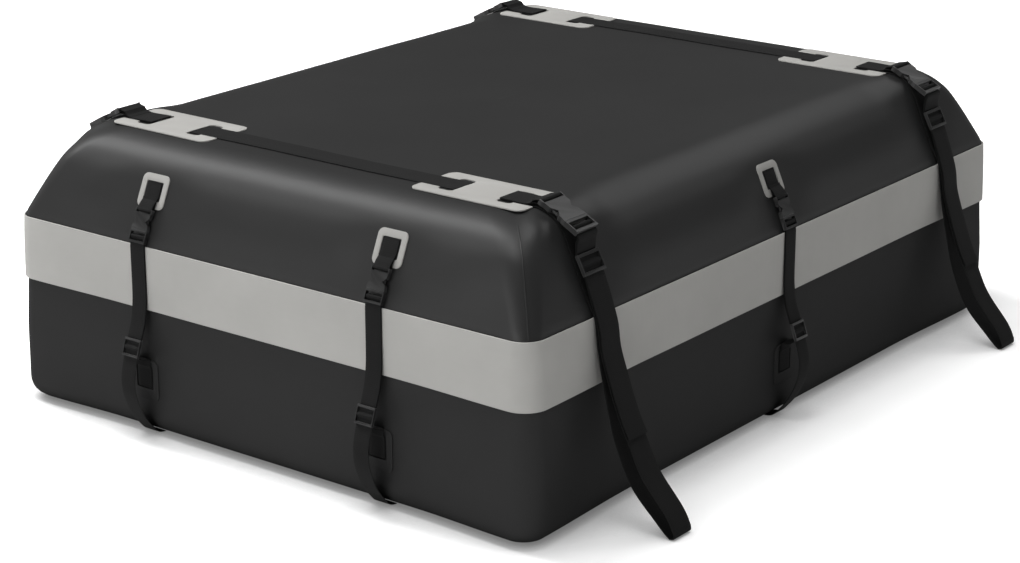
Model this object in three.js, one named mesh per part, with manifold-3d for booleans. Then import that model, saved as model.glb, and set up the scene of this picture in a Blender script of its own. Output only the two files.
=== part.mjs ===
// Soft roof cargo bag: a tarpaulin tub and lid joined by a zip under a weather flap, six short
// straps that draw the lid down and four long loop straps that tie the bag to a roof rack.
// Millimetres, +Z up. The origin is on the ground under the middle of the bag, X is across the
// car, Y is along it, and the front of the bag faces -Y.

import * as THREE from 'three';
import { mergeVertices } from 'three/addons/utils/BufferGeometryUtils.js';
import Module from 'manifold-3d';

const wasm = await Module();
wasm.setup();

// Bag
const bagWidth = 876;
const bagLength = 1142;
const bagHeight = 386;
const tarpaulin = 2.5;
const cornerRadius = 30;
const cornerGrowth = 0.7;
const cornerSteps = 5;

// Tub
const tubTopShare = 0.601;
const tubInset = 2;
const tubWaistInset = 5;
const tubEdgeRadius = 32;
const tubEdgeSteps = 4;

// Lid
const lidLean = THREE.MathUtils.degToRad(24);
const shoulderRadius = 50;
const shoulderSteps = 5;
const lidSkirt = 24;

// Weather flap, welded to the lid along its top edge
const flapTopShare = 0.684;
const flapShare = 0.2254;
const flapSheet = 2;

// Zip
const zipInset = 9;
const zipGap = 8;
const zipTapeHeight = 28;
const zipTape = 1.2;
const zipTeethHeight = 6;
const zipSlit = 2.4;
const zipSliderLength = 14;
const zipSliderPlate = 1.2;
const zipPost = 3;
const zipTabLength = 26;
const zipTabSheet = 1;
const zipTabRoom = 1.6;
const zipBridge = { half: 4.2, width: 2 };

// Clearance between pieces that touch
const gap = 0.3;

// Shapes of a side-release buckle as shares of its socket's length and of a prong's width
const prongReach = 0.72;
const prongBend = [0.35, 0.42];
const prongTip = 0.4;
const guideHalf = 0.7;
const guideReach = 0.5;
const windowHalf = 0.28;
const socketRim = 3;
const prongRelief = 1;

// Short straps
const shortStrap = {
  web: 25, sheet: 1.2, thickness: 6.5, rail: 1.2, endBar: 3, slot: 4, rod: 1.4, shoulder: 3,
  socketLength: 23, socketSlot: 3, socketBar: 1.3, wall: 1.5, side: 2.6, prong: 3.2, windowDepth: 6,
  sliderHeight: 24, sliderRod: 1.2,
};
const shortStrapSpacing = 403;
const shortBuckleDrop = 47.8;
const shortBuckleLift = 2.2;
const lidPatch = {
  width: 47, height: 46, drop: 5.4, window: [29.5, 26], bar: 10, radius: 8, sheet: 1.5,
};
const tubPatch = {
  width: 48, height: 56, riseShare: 0.1295, window: [30, 32], bar: 8, radius: 8, sheet: 2,
};
const shortSliderReach = 16.6;
const shortSliderDrop = 50;
const shortSliderLean = THREE.MathUtils.degToRad(19);
const tailBulge = 30;

// Long straps
const longStrap = {
  web: 38, sheet: 1.4, thickness: 8, rail: 2, endBar: 4, slot: 5, rod: 1.5, shoulder: 4,
  socketLength: 36, socketSlot: 4, socketBar: 1.5, wall: 1.8, side: 3.2, prong: 4.4, windowDepth: 8.5,
  sliderHeight: 27, sliderRod: 1.3,
};
const longStrapInset = 145;
const longBuckleDrop = 43.3;
const longBuckleLift = 1.7;
const longBuckleLean = THREE.MathUtils.degToRad(61.7);
const longSliderDrop = 38.3;
const longSliderLift = 6.6;
const longSliderLean = THREE.MathUtils.degToRad(27.5);
const loopReach = 110;
const loopDrift = 10;

// Light patches that hold the long straps on top of the lid
const topPatch = {
  length: 174, width: 90, inset: 90, radius: 12, sheet: 1.5,
  neck: 30, head: [23, 53], headRadius: 6,
};

const V2 = (x, y) => new THREE.Vector2(x, y);
const tubTop = bagHeight * tubTopShare;
const flapTop = bagHeight * flapTopShare;
const flapHeight = bagHeight * flapShare;
const flapInset = flapSheet + gap;
const flapBottom = flapTop - flapHeight;
const zipMiddle = tubTop + zipGap / 2;
const tailTuck = tubInset + tubEdgeRadius * 0.62;
const longRow = bagLength / 2 - longStrapInset;
const tubPatchRise = bagHeight * tubPatch.riseShare;
const tubPatchTop = tubPatchRise + tubPatch.height;

const materials = {
  lid: new THREE.MeshStandardMaterial({ color: 0x343434, roughness: 0.45, metalness: 0 }),
  tub: new THREE.MeshStandardMaterial({ color: 0x2b2b2b, roughness: 0.5, metalness: 0 }),
  flap: new THREE.MeshStandardMaterial({ color: 0xa6a6a3, roughness: 0.55, metalness: 0 }),
  patch: new THREE.MeshStandardMaterial({ color: 0xadada9, roughness: 0.55, metalness: 0 }),
  web: new THREE.MeshStandardMaterial({ color: 0x232323, roughness: 0.8, metalness: 0 }),
  buckle: new THREE.MeshStandardMaterial({ color: 0x2a2a2a, roughness: 0.4, metalness: 0 }),
  zip: new THREE.MeshStandardMaterial({ color: 0x1c1c1c, roughness: 0.6, metalness: 0 }),
  zipMetal: new THREE.MeshStandardMaterial({ color: 0x2f2f31, roughness: 0.35, metalness: 0.8 }),
};

// Solids

function solidOf(geometry) {
  const bare = geometry.clone();
  bare.deleteAttribute('normal');
  bare.deleteAttribute('uv');
  const merged = mergeVertices(bare);
  return new wasm.Manifold(new wasm.Mesh({
    numProp: 3,
    vertProperties: new Float32Array(merged.attributes.position.array),
    triVerts: new Uint32Array(merged.index.array),
  }));
}

function geometryOf(solid) {
  const mesh = solid.getMesh();
  const geometry = new THREE.BufferGeometry();
  geometry.setAttribute('position', new THREE.BufferAttribute(mesh.vertProperties, 3));
  geometry.setIndex(new THREE.BufferAttribute(mesh.triVerts, 1));
  geometry.computeVertexNormals();
  return geometry;
}

function union(solids) {
  return solids.reduce((whole, solid) => whole.add(solid));
}

// Box between two values of x, of y and of z, in either order
function box(...spans) {
  const size = spans.map(([from, to]) => Math.abs(to - from));
  const middle = spans.map(([from, to]) => (from + to) / 2);
  return solidOf(new THREE.BoxGeometry(...size).translate(...middle));
}

// Flat outline in x and y, from z low to z high
function plate(shape, [low, high]) {
  const options = { depth: high - low, bevelEnabled: false, curveSegments: 2 };
  return solidOf(new THREE.ExtrudeGeometry(shape, options).translate(0, 0, low));
}

function outline(points) {
  return new THREE.Shape(points.map(([x, y]) => V2(x, y)));
}

function roundedRectangle(width, height, radius) {
  const [w, h] = [width / 2, height / 2];
  const shape = new THREE.Shape();
  for (const [x, y, start] of [[w, -h, -90], [w, h, 0], [-w, h, 90], [-w, -h, 180]]) {
    const from = THREE.MathUtils.degToRad(start);
    const centre = [x - Math.sign(x) * radius, y - Math.sign(y) * radius];
    shape.absarc(...centre, radius, from, from + Math.PI / 2);
  }
  return shape;
}

// Bag shells: rings round the bag, joined from the lowest to the highest

// Corner radius of the lid's slope, which grows up to the shoulder
function slopeCorner(inset) {
  return cornerRadius - flapInset + cornerGrowth * (Math.min(inset, shoulderRadius) - flapInset);
}

function planRing({ inset, z, radius }) {
  const [x, y] = [bagWidth / 2 - inset - radius, bagLength / 2 - inset - radius];
  return [[x, -y, -90], [x, y, 0], [-x, y, 90], [-x, -y, 180]].flatMap(([cx, cy, start]) =>
    Array.from({ length: cornerSteps + 1 }, (_, i) => {
      const angle = THREE.MathUtils.degToRad(start + (90 * i) / cornerSteps);
      return [cx + radius * Math.cos(angle), cy + radius * Math.sin(angle), z];
    }));
}

function loft(stations) {
  const rings = stations.map(planRing);
  const count = rings[0].length;
  const index = [];
  for (let ring = 0; ring + 1 < rings.length; ring++) {
    for (let i = 0; i < count; i++) {
      const [a, b] = [ring * count + i, ring * count + (i + 1) % count];
      index.push(a, b, b + count, a, b + count, a + count);
    }
  }
  const top = (rings.length - 1) * count;
  for (let i = 1; i + 1 < count; i++) {
    index.push(0, i + 1, i, top, top + i, top + i + 1);
  }
  const geometry = new THREE.BufferGeometry();
  geometry.setAttribute('position', new THREE.Float32BufferAttribute(rings.flat(2), 3));
  geometry.setIndex(index);
  return solidOf(geometry);
}

// How far a tool reaches past what it cuts
const past = 1;

function band(inset, thickness, [low, high]) {
  const block = (depth, levels) => loft(levels.map((z) => (
    { inset: depth, z, radius: cornerRadius - depth })));
  return block(inset, [low, high]).subtract(block(inset + thickness, [low - past, high + past]));
}

function tubStations(wall) {
  const radius = tubEdgeRadius - wall;
  const stations = [];
  for (let i = 0; i <= tubEdgeSteps; i++) {
    const angle = (Math.PI / 2) * (i / tubEdgeSteps);
    const inset = tubInset + tubEdgeRadius - radius * Math.sin(angle);
    stations.push({ inset, z: tubEdgeRadius - radius * Math.cos(angle) });
  }
  stations.push({ inset: tubInset + wall, z: tubPatchTop + tubPatch.sheet });
  stations.push({ inset: tubWaistInset + wall, z: flapBottom });
  stations.push({ inset: zipInset + wall, z: tubTop - zipGap });
  stations.push({ inset: zipInset + wall, z: wall ? tubTop + past : tubTop });
  return stations.map((station) => (
    { ...station, radius: cornerRadius - Math.min(station.inset, zipInset + wall) }));
}

// Height and inset of the middle of the shoulder's arc, where the lid's side turns into its top
const shoulder = (() => {
  const z = bagHeight - shoulderRadius;
  const rise = Math.sin(lidLean) * (z - flapTop);
  return { z, inset: flapInset + (shoulderRadius + rise) / Math.cos(lidLean) };
})();

function lidStations(wall) {
  const skirtBottom = tubTop + zipGap;
  const stations = [
    { inset: zipInset + wall, z: wall ? skirtBottom - past : skirtBottom },
    { inset: zipInset + wall, z: flapTop - lidSkirt / 2 },
    { inset: flapInset + wall, z: flapTop - lidSkirt / 3 },
    { inset: flapInset + wall, z: flapTop },
  ].map((station) => ({ ...station, radius: cornerRadius - station.inset }));
  const radius = shoulderRadius - wall;
  for (let i = 0; i <= shoulderSteps; i++) {
    const angle = lidLean + (Math.PI / 2 - lidLean) * (i / shoulderSteps);
    const inset = shoulder.inset - radius * Math.cos(angle);
    const z = shoulder.z + radius * Math.sin(angle);
    stations.push({ inset, z, radius: slopeCorner(inset - wall) - wall });
  }
  return stations;
}

// Straps are drawn in the frame of their own side of the bag: x along the side, y outwards from
// the flap's face, z up. A strap frame lies on that side's middle plane: s runs up the strap and n
// out from it.

function strapFrame(origin, lean) {
  const up = V2(-Math.sin(lean), Math.cos(lean));
  const out = V2(Math.cos(lean), Math.sin(lean));
  return {
    at: (s, n) => origin.clone().addScaledVector(up, s).addScaledVector(out, n),
    matrix: new THREE.Matrix4().makeBasis(
      new THREE.Vector3(-1, 0, 0), new THREE.Vector3(0, up.x, up.y), new THREE.Vector3(0, out.x, out.y),
    ).setPosition(0, origin.x, origin.y),
  };
}

const lidSlope = strapFrame(V2(-flapInset, flapTop), lidLean);
const shoulderCentre = V2(-shoulder.inset, shoulder.z);
const slopeUp = V2(-Math.sin(lidLean), Math.cos(lidLean));
const slopeLength = shoulderCentre.clone().sub(lidSlope.at(0, 0)).dot(slopeUp);
const lidTopFrame = strapFrame(V2(0, bagHeight), Math.PI / 2);

function smooth(points, steps) {
  return new THREE.SplineCurve(points).getPoints(steps);
}

function arc(centre, radius, from, to, steps) {
  return Array.from({ length: steps + 1 }, (_, i) => {
    const angle = THREE.MathUtils.degToRad(from + ((to - from) * i) / steps);
    return centre.clone().add(V2(Math.cos(angle), Math.sin(angle)).multiplyScalar(radius));
  });
}

// Strip of webbing along a path of [outwards, up] points
function ribbon(path, sheet, width) {
  const sides = [1, -1].map((side) => path.map((point, i) => {
    const before = path[Math.max(i - 1, 0)];
    const after = path[Math.min(i + 1, path.length - 1)];
    const normals = [point.clone().sub(before), after.clone().sub(point)]
      .filter((step) => step.length() > 0)
      .map((step) => V2(-step.y, step.x).normalize());
    const mitre = normals.reduce((sum, normal) => sum.clone().add(normal)).normalize();
    const reach = sheet / 2 / Math.max(mitre.dot(normals[0]), 0.5);
    return point.clone().addScaledVector(mitre, side * reach);
  }));
  const shape = new THREE.Shape([...sides[0], ...sides[1].reverse()]);
  const geometry = new THREE.ExtrudeGeometry(shape, { depth: width, bevelEnabled: false });
  const turned = new THREE.Matrix4().makeBasis(
    new THREE.Vector3(0, 1, 0), new THREE.Vector3(0, 0, 1), new THREE.Vector3(1, 0, 0));
  return solidOf(geometry.translate(0, 0, -width / 2).applyMatrix4(turned));
}

// Levels of the two layers of web that pass through an adjuster: the inner layer lies under its
// rod, and the outer one comes over the rod and leaves below the end bar.
function webLevels({ sheet }, rod) {
  const inner = gap + sheet / 2;
  const outer = inner + sheet + gap;
  return { inner, outer, rod: inner + sheet / 2 + gap + rod, wrap: rod + gap + sheet / 2 };
}

function buckleSizes(strap) {
  const rodAt = strap.endBar + strap.slot + strap.rod;
  const shoulderAt = rodAt + strap.rod + strap.slot;
  const mouth = shoulderAt + strap.shoulder + gap;
  const socketEnd = mouth + strap.socketLength;
  const barAt = socketEnd + strap.socketSlot + strap.socketBar;
  const inside = strap.web / 2 + gap;
  return {
    rodAt, shoulderAt, mouth, socketEnd, barAt, inside,
    half: inside + strap.rail,
    cavity: inside + strap.rail - strap.side,
    bar: strap.thickness / 2,
    levels: webLevels(strap, strap.rod),
  };
}

function cylinderAcross(radius, width, s, n) {
  const geometry = new THREE.CylinderGeometry(radius, radius, width, 8).rotateZ(Math.PI / 2);
  return solidOf(geometry.translate(0, s, n));
}

// Plug of a side-release buckle: web adjuster at the low end, two prongs and a guide at the other
function plugSolid(strap) {
  const size = buckleSizes(strap);
  const { inside, half, shoulderAt, mouth, levels } = size;
  const full = [levels.inner, strap.thickness];
  const prongs = [strap.wall + gap + levels.inner, strap.thickness - strap.wall - gap];
  const upSocket = (share) => mouth + strap.socketLength * share;
  const outer = size.cavity - gap;
  const root = shoulderAt + strap.shoulder / 2;
  const guide = strap.prong * guideHalf;
  const overWeb = levels.outer + strap.sheet / 2 + gap;
  const pieces = [-1, 1].flatMap((side) => [
    box([side * inside, side * half], [0, mouth - gap], full),
    plate(outline([
      [side * outer, root],
      [side * (outer - prongRelief), upSocket(prongBend[0])],
      [side * outer, upSocket(prongBend[1])],
      [side * (outer - strap.prong * (1 - prongTip)), upSocket(prongReach)],
      [side * (outer - strap.prong), upSocket(prongReach)],
      [side * (outer - strap.prong), root],
    ]), prongs),
  ]);
  pieces.push(box([-half, half], [shoulderAt, mouth - gap], full));
  pieces.push(box([-half, half], [0, strap.endBar], [overWeb, strap.thickness]));
  pieces.push(cylinderAcross(strap.rod, inside + half, size.rodAt, levels.rod));
  pieces.push(box([-guide, guide], [root, upSocket(guideReach)], prongs));
  return union(pieces);
}

// Socket: an open-mouthed case with a V window on each side, and the bar that its web is sewn round
function socketSolid(strap) {
  const { mouth, socketEnd, barAt, inside, half, cavity, bar, levels } = buckleSizes(strap);
  const waist = half - strap.rail / 2;
  const end = socketEnd - strap.wall;
  const top = barAt + strap.socketBar;
  const through = [-past, strap.thickness + past];
  const edge = [
    [half, mouth], [half, mouth + socketRim], [waist, mouth + 2 * socketRim], [waist, end],
    [half, socketEnd + strap.wall], [half, top],
  ];
  const mirrored = edge.map(([x, s]) => [-x, s]).reverse();
  const middle = mouth + strap.socketLength / 2;
  const spread = strap.socketLength * windowHalf;
  const windows = [-1, 1].map((side) => plate(outline([
    [side * (half + past), middle - spread],
    [side * (half - strap.windowDepth), middle],
    [side * (half + past), middle + spread],
  ]), through));
  const barSpan = [barAt - strap.socketBar - gap / 2, top + past];
  const cuts = union([
    box([-cavity, cavity], [mouth - past, end], [levels.inner + strap.wall, strap.thickness - strap.wall]),
    ...windows,
    box([-inside, inside], [socketEnd, barAt - strap.socketBar], through),
    box([-inside, inside], barSpan, [bar + strap.socketBar, strap.thickness + past]),
    box([-inside, inside], barSpan, [-past, bar - strap.socketBar]),
  ]);
  return plate(outline([...edge, ...mirrored]), [levels.inner, strap.thickness]).subtract(cuts);
}

// Three-bar slider that holds the two layers of a strap together
function sliderSolid(strap) {
  const levels = webLevels(strap, strap.sliderRod);
  const inside = strap.web / 2 + gap;
  const half = inside + strap.rail;
  const height = strap.sliderHeight / 2;
  const low = levels.outer + strap.sheet / 2 + gap;
  const high = levels.rod + levels.wrap + strap.sheet / 2;
  const pieces = [-1, 1].flatMap((side) => [
    box([side * inside, side * half], [-height, height], [levels.inner + strap.sheet / 2, high]),
    box([-half, half], [side * height, side * (height - strap.endBar)], [low, high]),
  ]);
  pieces.push(cylinderAcross(strap.sliderRod, inside + half, 0, levels.rod));
  return union(pieces);
}

// Angle at which a web leaves the bar that it passes over, how far a sewn end stays from its
// window's edge, and how far below a buckle the web bends
const webLeave = 40;
const webEndRoom = 1.5;
const webBendRoom = 2.2;

// The web's turn round the rod of a plug: up under it, round it and down to the outer layer
function plugTurn(frame, strap) {
  const { rodAt, levels } = buckleSizes(strap);
  const turn = arc(V2(rodAt, levels.rod), levels.wrap, -90, 90 + webLeave, 6);
  const last = turn.at(-1);
  const run = (last.y - levels.outer) / Math.tan(THREE.MathUtils.degToRad(webLeave));
  turn.push(V2(last.x - run, levels.outer));
  return turn.map(({ x, y }) => frame.at(x, y));
}

// The outer layer's way over the middle bar of a slider, from above
function sliderCrossing(frame, strap) {
  const levels = webLevels(strap, strap.sliderRod);
  const crossing = arc(V2(0, levels.rod), levels.wrap, 90 - webLeave, 90 + webLeave, 3);
  const run = (crossing[0].y - levels.outer) / Math.tan(THREE.MathUtils.degToRad(webLeave));
  crossing.unshift(V2(crossing[0].x + run, levels.outer));
  crossing.push(V2(-crossing[0].x, levels.outer));
  return crossing.map(({ x, y }) => frame.at(x, y));
}

// Frames of the buckles and sliders
const lidPatchRise = slopeLength - lidPatch.drop - lidPatch.height;
const shortBuckleRise = lidPatchRise - shortBuckleDrop;
const shortBuckle = strapFrame(lidSlope.at(shortBuckleRise, shortBuckleLift), lidLean);
const shortSliderHeight = flapBottom - shortSliderDrop;
const shortSlider = strapFrame(V2(shortSliderReach, shortSliderHeight), shortSliderLean);
const overShoulder = strapFrame(shoulderCentre, longBuckleLean);
const longBuckleOrigin = overShoulder.at(-longBuckleDrop, shoulderRadius + longBuckleLift);
const longBuckle = strapFrame(longBuckleOrigin, longBuckleLean);
const longSlider = strapFrame(lidSlope.at(slopeLength - longSliderDrop, longSliderLift), longSliderLean);

// Short web sewn down from `start` to `lift`, at `level` over its own frame, then up round the
// socket's bar and back on itself
function socketWeb(frame, strap, bar, { start, lift, level }) {
  const radius = strap.socketBar * Math.SQRT2 + gap / 2 + strap.sheet / 2;
  const round = arc(bar, radius, 55, 270, 7);
  const lower = bar.y - radius;
  const middle = (lift + bar.x) / 2;
  const over = [
    ...start, V2(lift, level), V2(middle + past, (lower + round[0].y) / 2 + strap.sheet / 2), ...round,
  ];
  const under = [V2(bar.x - gap, lower), V2(middle, lower), V2(lift + lidPatch.bar * gap, level)];
  return [over, under].map((path) => (
    ribbon(path.map(({ x, y }) => frame.at(x, y)), strap.sheet, strap.web)));
}

function shortSocketWeb() {
  const { barAt, bar } = buckleSizes(shortStrap);
  const windowBottom = lidPatchRise + lidPatch.bar;
  const windowTop = windowBottom + lidPatch.window[1];
  const sewn = shortStrap.sheet / 2 - gap;
  return socketWeb(lidSlope, shortStrap, V2(shortBuckleRise + barAt, shortBuckleLift + bar), {
    start: [V2(windowTop - webEndRoom, sewn), V2(windowBottom + lidPatch.bar / 2, sewn)],
    lift: windowBottom + shortStrap.sheet,
    level: 2 * gap + lidPatch.sheet + shortStrap.sheet / 2,
  });
}

function shortStrapPath() {
  const buckle = webLevels(shortStrap, shortStrap.rod);
  const slider = webLevels(shortStrap, shortStrap.sliderRod);
  const half = shortStrap.sliderHeight / 2;
  const { sheet } = shortStrap;
  const wall = -tubInset + gap + sheet / 2;
  const overBar = wall + tubPatch.sheet;
  const windowTop = tubPatchTop - tubPatch.bar;
  const inner = gap + sheet / 2;
  const outer = inner + sheet + 4 * gap / 3;
  const foot = shortBuckle.at(-tubPatch.sheet, 0).y;
  const under = (level, lift, drop) => V2(level + lift, flapBottom + drop);
  const sewn = [
    V2(wall, windowTop - tubPatch.window[1] + webEndRoom),
    V2(wall, windowTop - tubPatch.bar / 2),
    V2(overBar, windowTop),
    V2(overBar, tubPatchTop - tubPatch.sheet),
  ];
  const toSlider = smooth([
    V2(overBar, tubPatchTop - tubPatch.sheet), V2(shortSliderReach * 0.1, tubPatchTop + 2.5),
    V2(shortSliderReach * 0.72, tubPatchTop + 4), shortSlider.at(-half, slider.inner),
  ], 7).slice(1);
  const upBand = smooth([
    shortSlider.at(half, slider.inner), under(inner, 4, -14), under(inner, 0.6, 10), under(inner, 0, 30),
  ], 5);
  const downBand = smooth([
    under(outer, 0, 30), under(outer, 0.7, 10), under(outer, 4.2, -14), shortSlider.at(half, slider.outer),
  ], 5);
  const hang = [[1, 0.646], [0.9, 0.48], [0.5, 0.26], [-0.067, 0.087]];
  const tail = smooth([
    shortSlider.at(-half, slider.outer),
    V2(tailBulge - tubPatch.sheet, shortSliderHeight - shortStrap.sliderHeight * 1.2),
    ...hang.map(([out, up]) => V2(tailBulge * out, shortSliderHeight * up)),
    V2(-tailTuck / 2, tubEdgeRadius / 10), V2(-tailTuck, sheet / 2 + gap / 3),
  ], 12);
  return [
    ...sewn, ...toSlider, ...upBand, V2(inner, foot - webBendRoom),
    shortBuckle.at(-tubPatch.sheet, buckle.inner), ...plugTurn(shortBuckle, shortStrap),
    shortBuckle.at(-tubPatch.sheet, buckle.outer), V2(outer, foot - webBendRoom),
    ...downBand, ...sliderCrossing(shortSlider, shortStrap), ...tail,
  ];
}

// Where the long straps end in their patch, from the bag's edge
const headEnd = topPatch.inset + topPatch.neck + topPatch.head[0] - webEndRoom;

function longSocketWeb() {
  const { barAt, bar } = buckleSizes(longStrap);
  const place = longBuckle.at(barAt, bar);
  const level = gap + longStrap.sheet * 1.45;
  return socketWeb(lidTopFrame, longStrap, V2(-place.x, place.y - bagHeight), {
    start: [V2(headEnd, level)],
    lift: topPatch.inset + topPatch.neck / 3,
    level,
  });
}

function longStrapPath() {
  const buckle = webLevels(longStrap, longStrap.rod);
  const slider = webLevels(longStrap, longStrap.sliderRod);
  const half = longStrap.sliderHeight / 2;
  const below = -half - longStrap.endBar;
  const lift = gap + longStrap.sheet / 2;
  const lean = THREE.MathUtils.radToDeg(lidLean);
  const overEdge = arc(shoulderCentre, shoulderRadius + lift, 90, lean, shoulderSteps);
  const hang = (points) => points.map(([out, up]) => V2(loopReach * out, flapTop * up));
  const end = loopReach + 4.6;
  const inner = smooth([
    lidSlope.at(slopeLength * 0.237, lift), V2(-flapInset - lift, flapTop + 9),
    ...hang([
      [0.02, 0.985], [0.059, 0.856], [0.118, 0.712], [0.186, 0.583], [0.285, 0.417], [0.49, 0.22],
      [0.8, 0.078], [0.927, 0.025],
    ]),
    V2(loopReach - past, longStrap.sheet),
  ], 16);
  const turn = smooth([V2(loopReach - past, longStrap.sheet), V2(end, 3.4), V2(end, 9.5)], 4).slice(1);
  const outer = smooth([
    V2(end, 9.5),
    ...hang([
      [0.945, 0.117], [0.643, 0.273], [0.481, 0.413], [0.375, 0.508], [0.282, 0.602], [0.182, 0.727],
      [0.102, 0.841], [0.049, 0.966],
    ]),
    longSlider.at(below, slider.inner),
  ], 14).slice(1);
  const sliderTop = [slider.inner, slider.outer].map((level) => longSlider.at(half, level));
  const elbow = longBuckle.at(-longStrap.rod, buckle.inner - gap * 0.7);
  const upToPlug = smooth([
    sliderTop[0], V2((elbow.x + longSlider.at(half, 0).x) / 2 - 0.4, elbow.y - 9),
    V2(elbow.x + 0.5, elbow.y - 3), elbow, longBuckle.at(2, buckle.inner),
  ], 6);
  const knee = longBuckle.at(-2.2, buckle.outer);
  const downToSlider = smooth([
    longBuckle.at(1, buckle.outer), knee, V2(knee.x + 0.6, knee.y - 3.4),
    V2((knee.x + sliderTop[1].x) / 2 - 0.2, knee.y - 11), sliderTop[1],
  ], 6);
  const tail = smooth([
    longSlider.at(below, slider.outer),
    ...hang([
      [0.076, 0.97], [0.126, 0.841], [0.212, 0.727], [0.315, 0.602], [0.405, 0.508], [0.482, 0.447],
    ]),
  ], 7);
  return [
    lidTopFrame.at(headEnd, lift), lidTopFrame.at(shoulder.inset + 8, lift), ...overEdge,
    lidSlope.at(slopeLength * 0.475, lift), ...inner, ...turn, ...outer,
    longSlider.at(-half, slider.inner), ...upToPlug, ...plugTurn(longBuckle, longStrap),
    ...downToSlider, ...sliderCrossing(longSlider, longStrap), ...tail,
  ];
}

// Moves a long loop towards the back of the bag as it hangs, by loopDrift at the ground
function drifted(solid, back) {
  return solid.warp((vertex) => {
    const fall = Math.max(0, flapTop - vertex[2]) / flapTop;
    vertex[0] += back * loopDrift * fall * fall;
  });
}

function framedPatch({ width, height, window, bar, radius }) {
  const shape = roundedRectangle(width, height, radius);
  const hole = roundedRectangle(...window, radius / 4).getPoints(1);
  const shift = (-height + window[1]) / 2 + bar;
  shape.holes.push(new THREE.Path(hole.map(({ x, y }) => V2(x, y + shift))));
  return shape;
}

function lidPatchSolid() {
  return plate(framedPatch(lidPatch), [gap, gap + lidPatch.sheet]);
}

// Patch on the tub, sunk into its wall so that the two are one sheet
function tubPatchSolid() {
  const window = { ...tubPatch, bar: tubPatch.height - tubPatch.bar - tubPatch.window[1] };
  return plate(framedPatch(window), [-tarpaulin / 2, tubPatch.sheet]);
}

// H-shaped patch: an open-ended slot at each end, with a neck as wide as the web and a wider head
function topPatchSolid() {
  const { length, width, radius, neck, head, headRadius, sheet } = topPatch;
  const level = [gap, gap + sheet];
  const through = [0, gap + sheet + past];
  const neckWidth = longStrap.web + 2 * gap;
  let patch = plate(roundedRectangle(length, width, radius), level);
  for (const side of [-1, 1]) {
    const headMiddle = side * (length / 2 - neck - head[0] / 2);
    const mouth = [side * (length / 2 + past), headMiddle];
    const headHole = plate(roundedRectangle(...head, headRadius), through);
    patch = patch.subtract(box(mouth, [-neckWidth / 2, neckWidth / 2], through));
    patch = patch.subtract(headHole.translate([headMiddle, 0, 0]));
  }
  return patch;
}

// Places of the strap sets round the bag: where each side's frame stands and how it is turned
const sides = {
  front: { turn: Math.PI, reach: bagLength / 2 },
  back: { turn: 0, reach: bagLength / 2 },
  right: { turn: -Math.PI / 2, reach: bagWidth / 2 },
  left: { turn: Math.PI / 2, reach: bagWidth / 2 },
};

function sideGroup(side, along) {
  const { turn, reach } = sides[side];
  const group = new THREE.Group();
  const out = new THREE.Vector2(-Math.sin(turn), Math.cos(turn));
  group.rotation.z = turn;
  group.position.set(out.x * reach + along * Math.abs(out.y), out.y * reach + along * Math.abs(out.x), 0);
  group.updateMatrix();
  return group;
}

const shortSets = [
  ['front_right', 'front', shortStrapSpacing / 2],
  ['front_left', 'front', -shortStrapSpacing / 2],
  ['back_right', 'back', shortStrapSpacing / 2],
  ['back_left', 'back', -shortStrapSpacing / 2],
  ['side_right', 'right', 0],
  ['side_left', 'left', 0],
];
const longSets = [
  ['front_right', 'right', -longRow],
  ['front_left', 'left', -longRow],
  ['back_right', 'right', longRow],
  ['back_left', 'left', longRow],
];

// Assembly

const bag = new THREE.Group();

function addMesh(parent, name, solid, material) {
  const mesh = new THREE.Mesh(geometryOf(solid), materials[material]);
  mesh.name = name;
  parent.add(mesh);
  return mesh;
}

function addFramed(parent, name, solid, material, frame) {
  addMesh(parent, name, solid, material).applyMatrix4(frame.matrix);
}

// Solid of one side's frame, set down in the bag's own frame
function onSide(solid, side, along) {
  return solid.transform(sideGroup(side, along).matrix.toArray());
}

function addTub() {
  const shell = loft(tubStations(0)).subtract(loft(tubStations(tarpaulin)));
  const frame = strapFrame(V2(-tubInset, tubPatchRise + tubPatch.height / 2), 0);
  const patch = tubPatchSolid().transform(frame.matrix.toArray());
  const patches = shortSets.map(([, side, along]) => onSide(patch, side, along));
  addMesh(bag, 'tub', union([shell, ...patches]), 'tub');
}

function addLid() {
  const shell = loft(lidStations(0)).subtract(loft(lidStations(tarpaulin)));
  const web = union(shortSocketWeb());
  const webs = shortSets.map(([, side, along]) => onSide(web, side, along));
  addMesh(bag, 'lid', union([shell, ...webs]), 'lid');
}

// Depths of the zip's tape and of its slider's plates, inwards from the flap's face
const tapeDepth = zipInset + tarpaulin + gap;
const outerPlate = [zipInset - gap - zipSliderPlate, zipInset - gap];
const innerPlate = [tapeDepth + zipTape + gap, tapeDepth + zipTape + gap + zipSliderPlate];
const zipPlateHalf = zipTeethHeight / 2 + zipPost / 2;

function addZipChain() {
  const about = (height) => [zipMiddle - height / 2, zipMiddle + height / 2];
  const tape = band(tapeDepth, zipTape, about(zipTapeHeight));
  const teeth = band(zipInset, tapeDepth - zipInset + zipTape / 2, about(zipTeethHeight));
  const back = bagLength / 2;
  const across = [-zipSliderLength, zipSliderLength];
  const slit = box(across, [back - tapeDepth - zipTape - past, back], about(zipSlit));
  addMesh(bag, 'zip_chain', tape.add(teeth).subtract(slit), 'zip');
}

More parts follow.
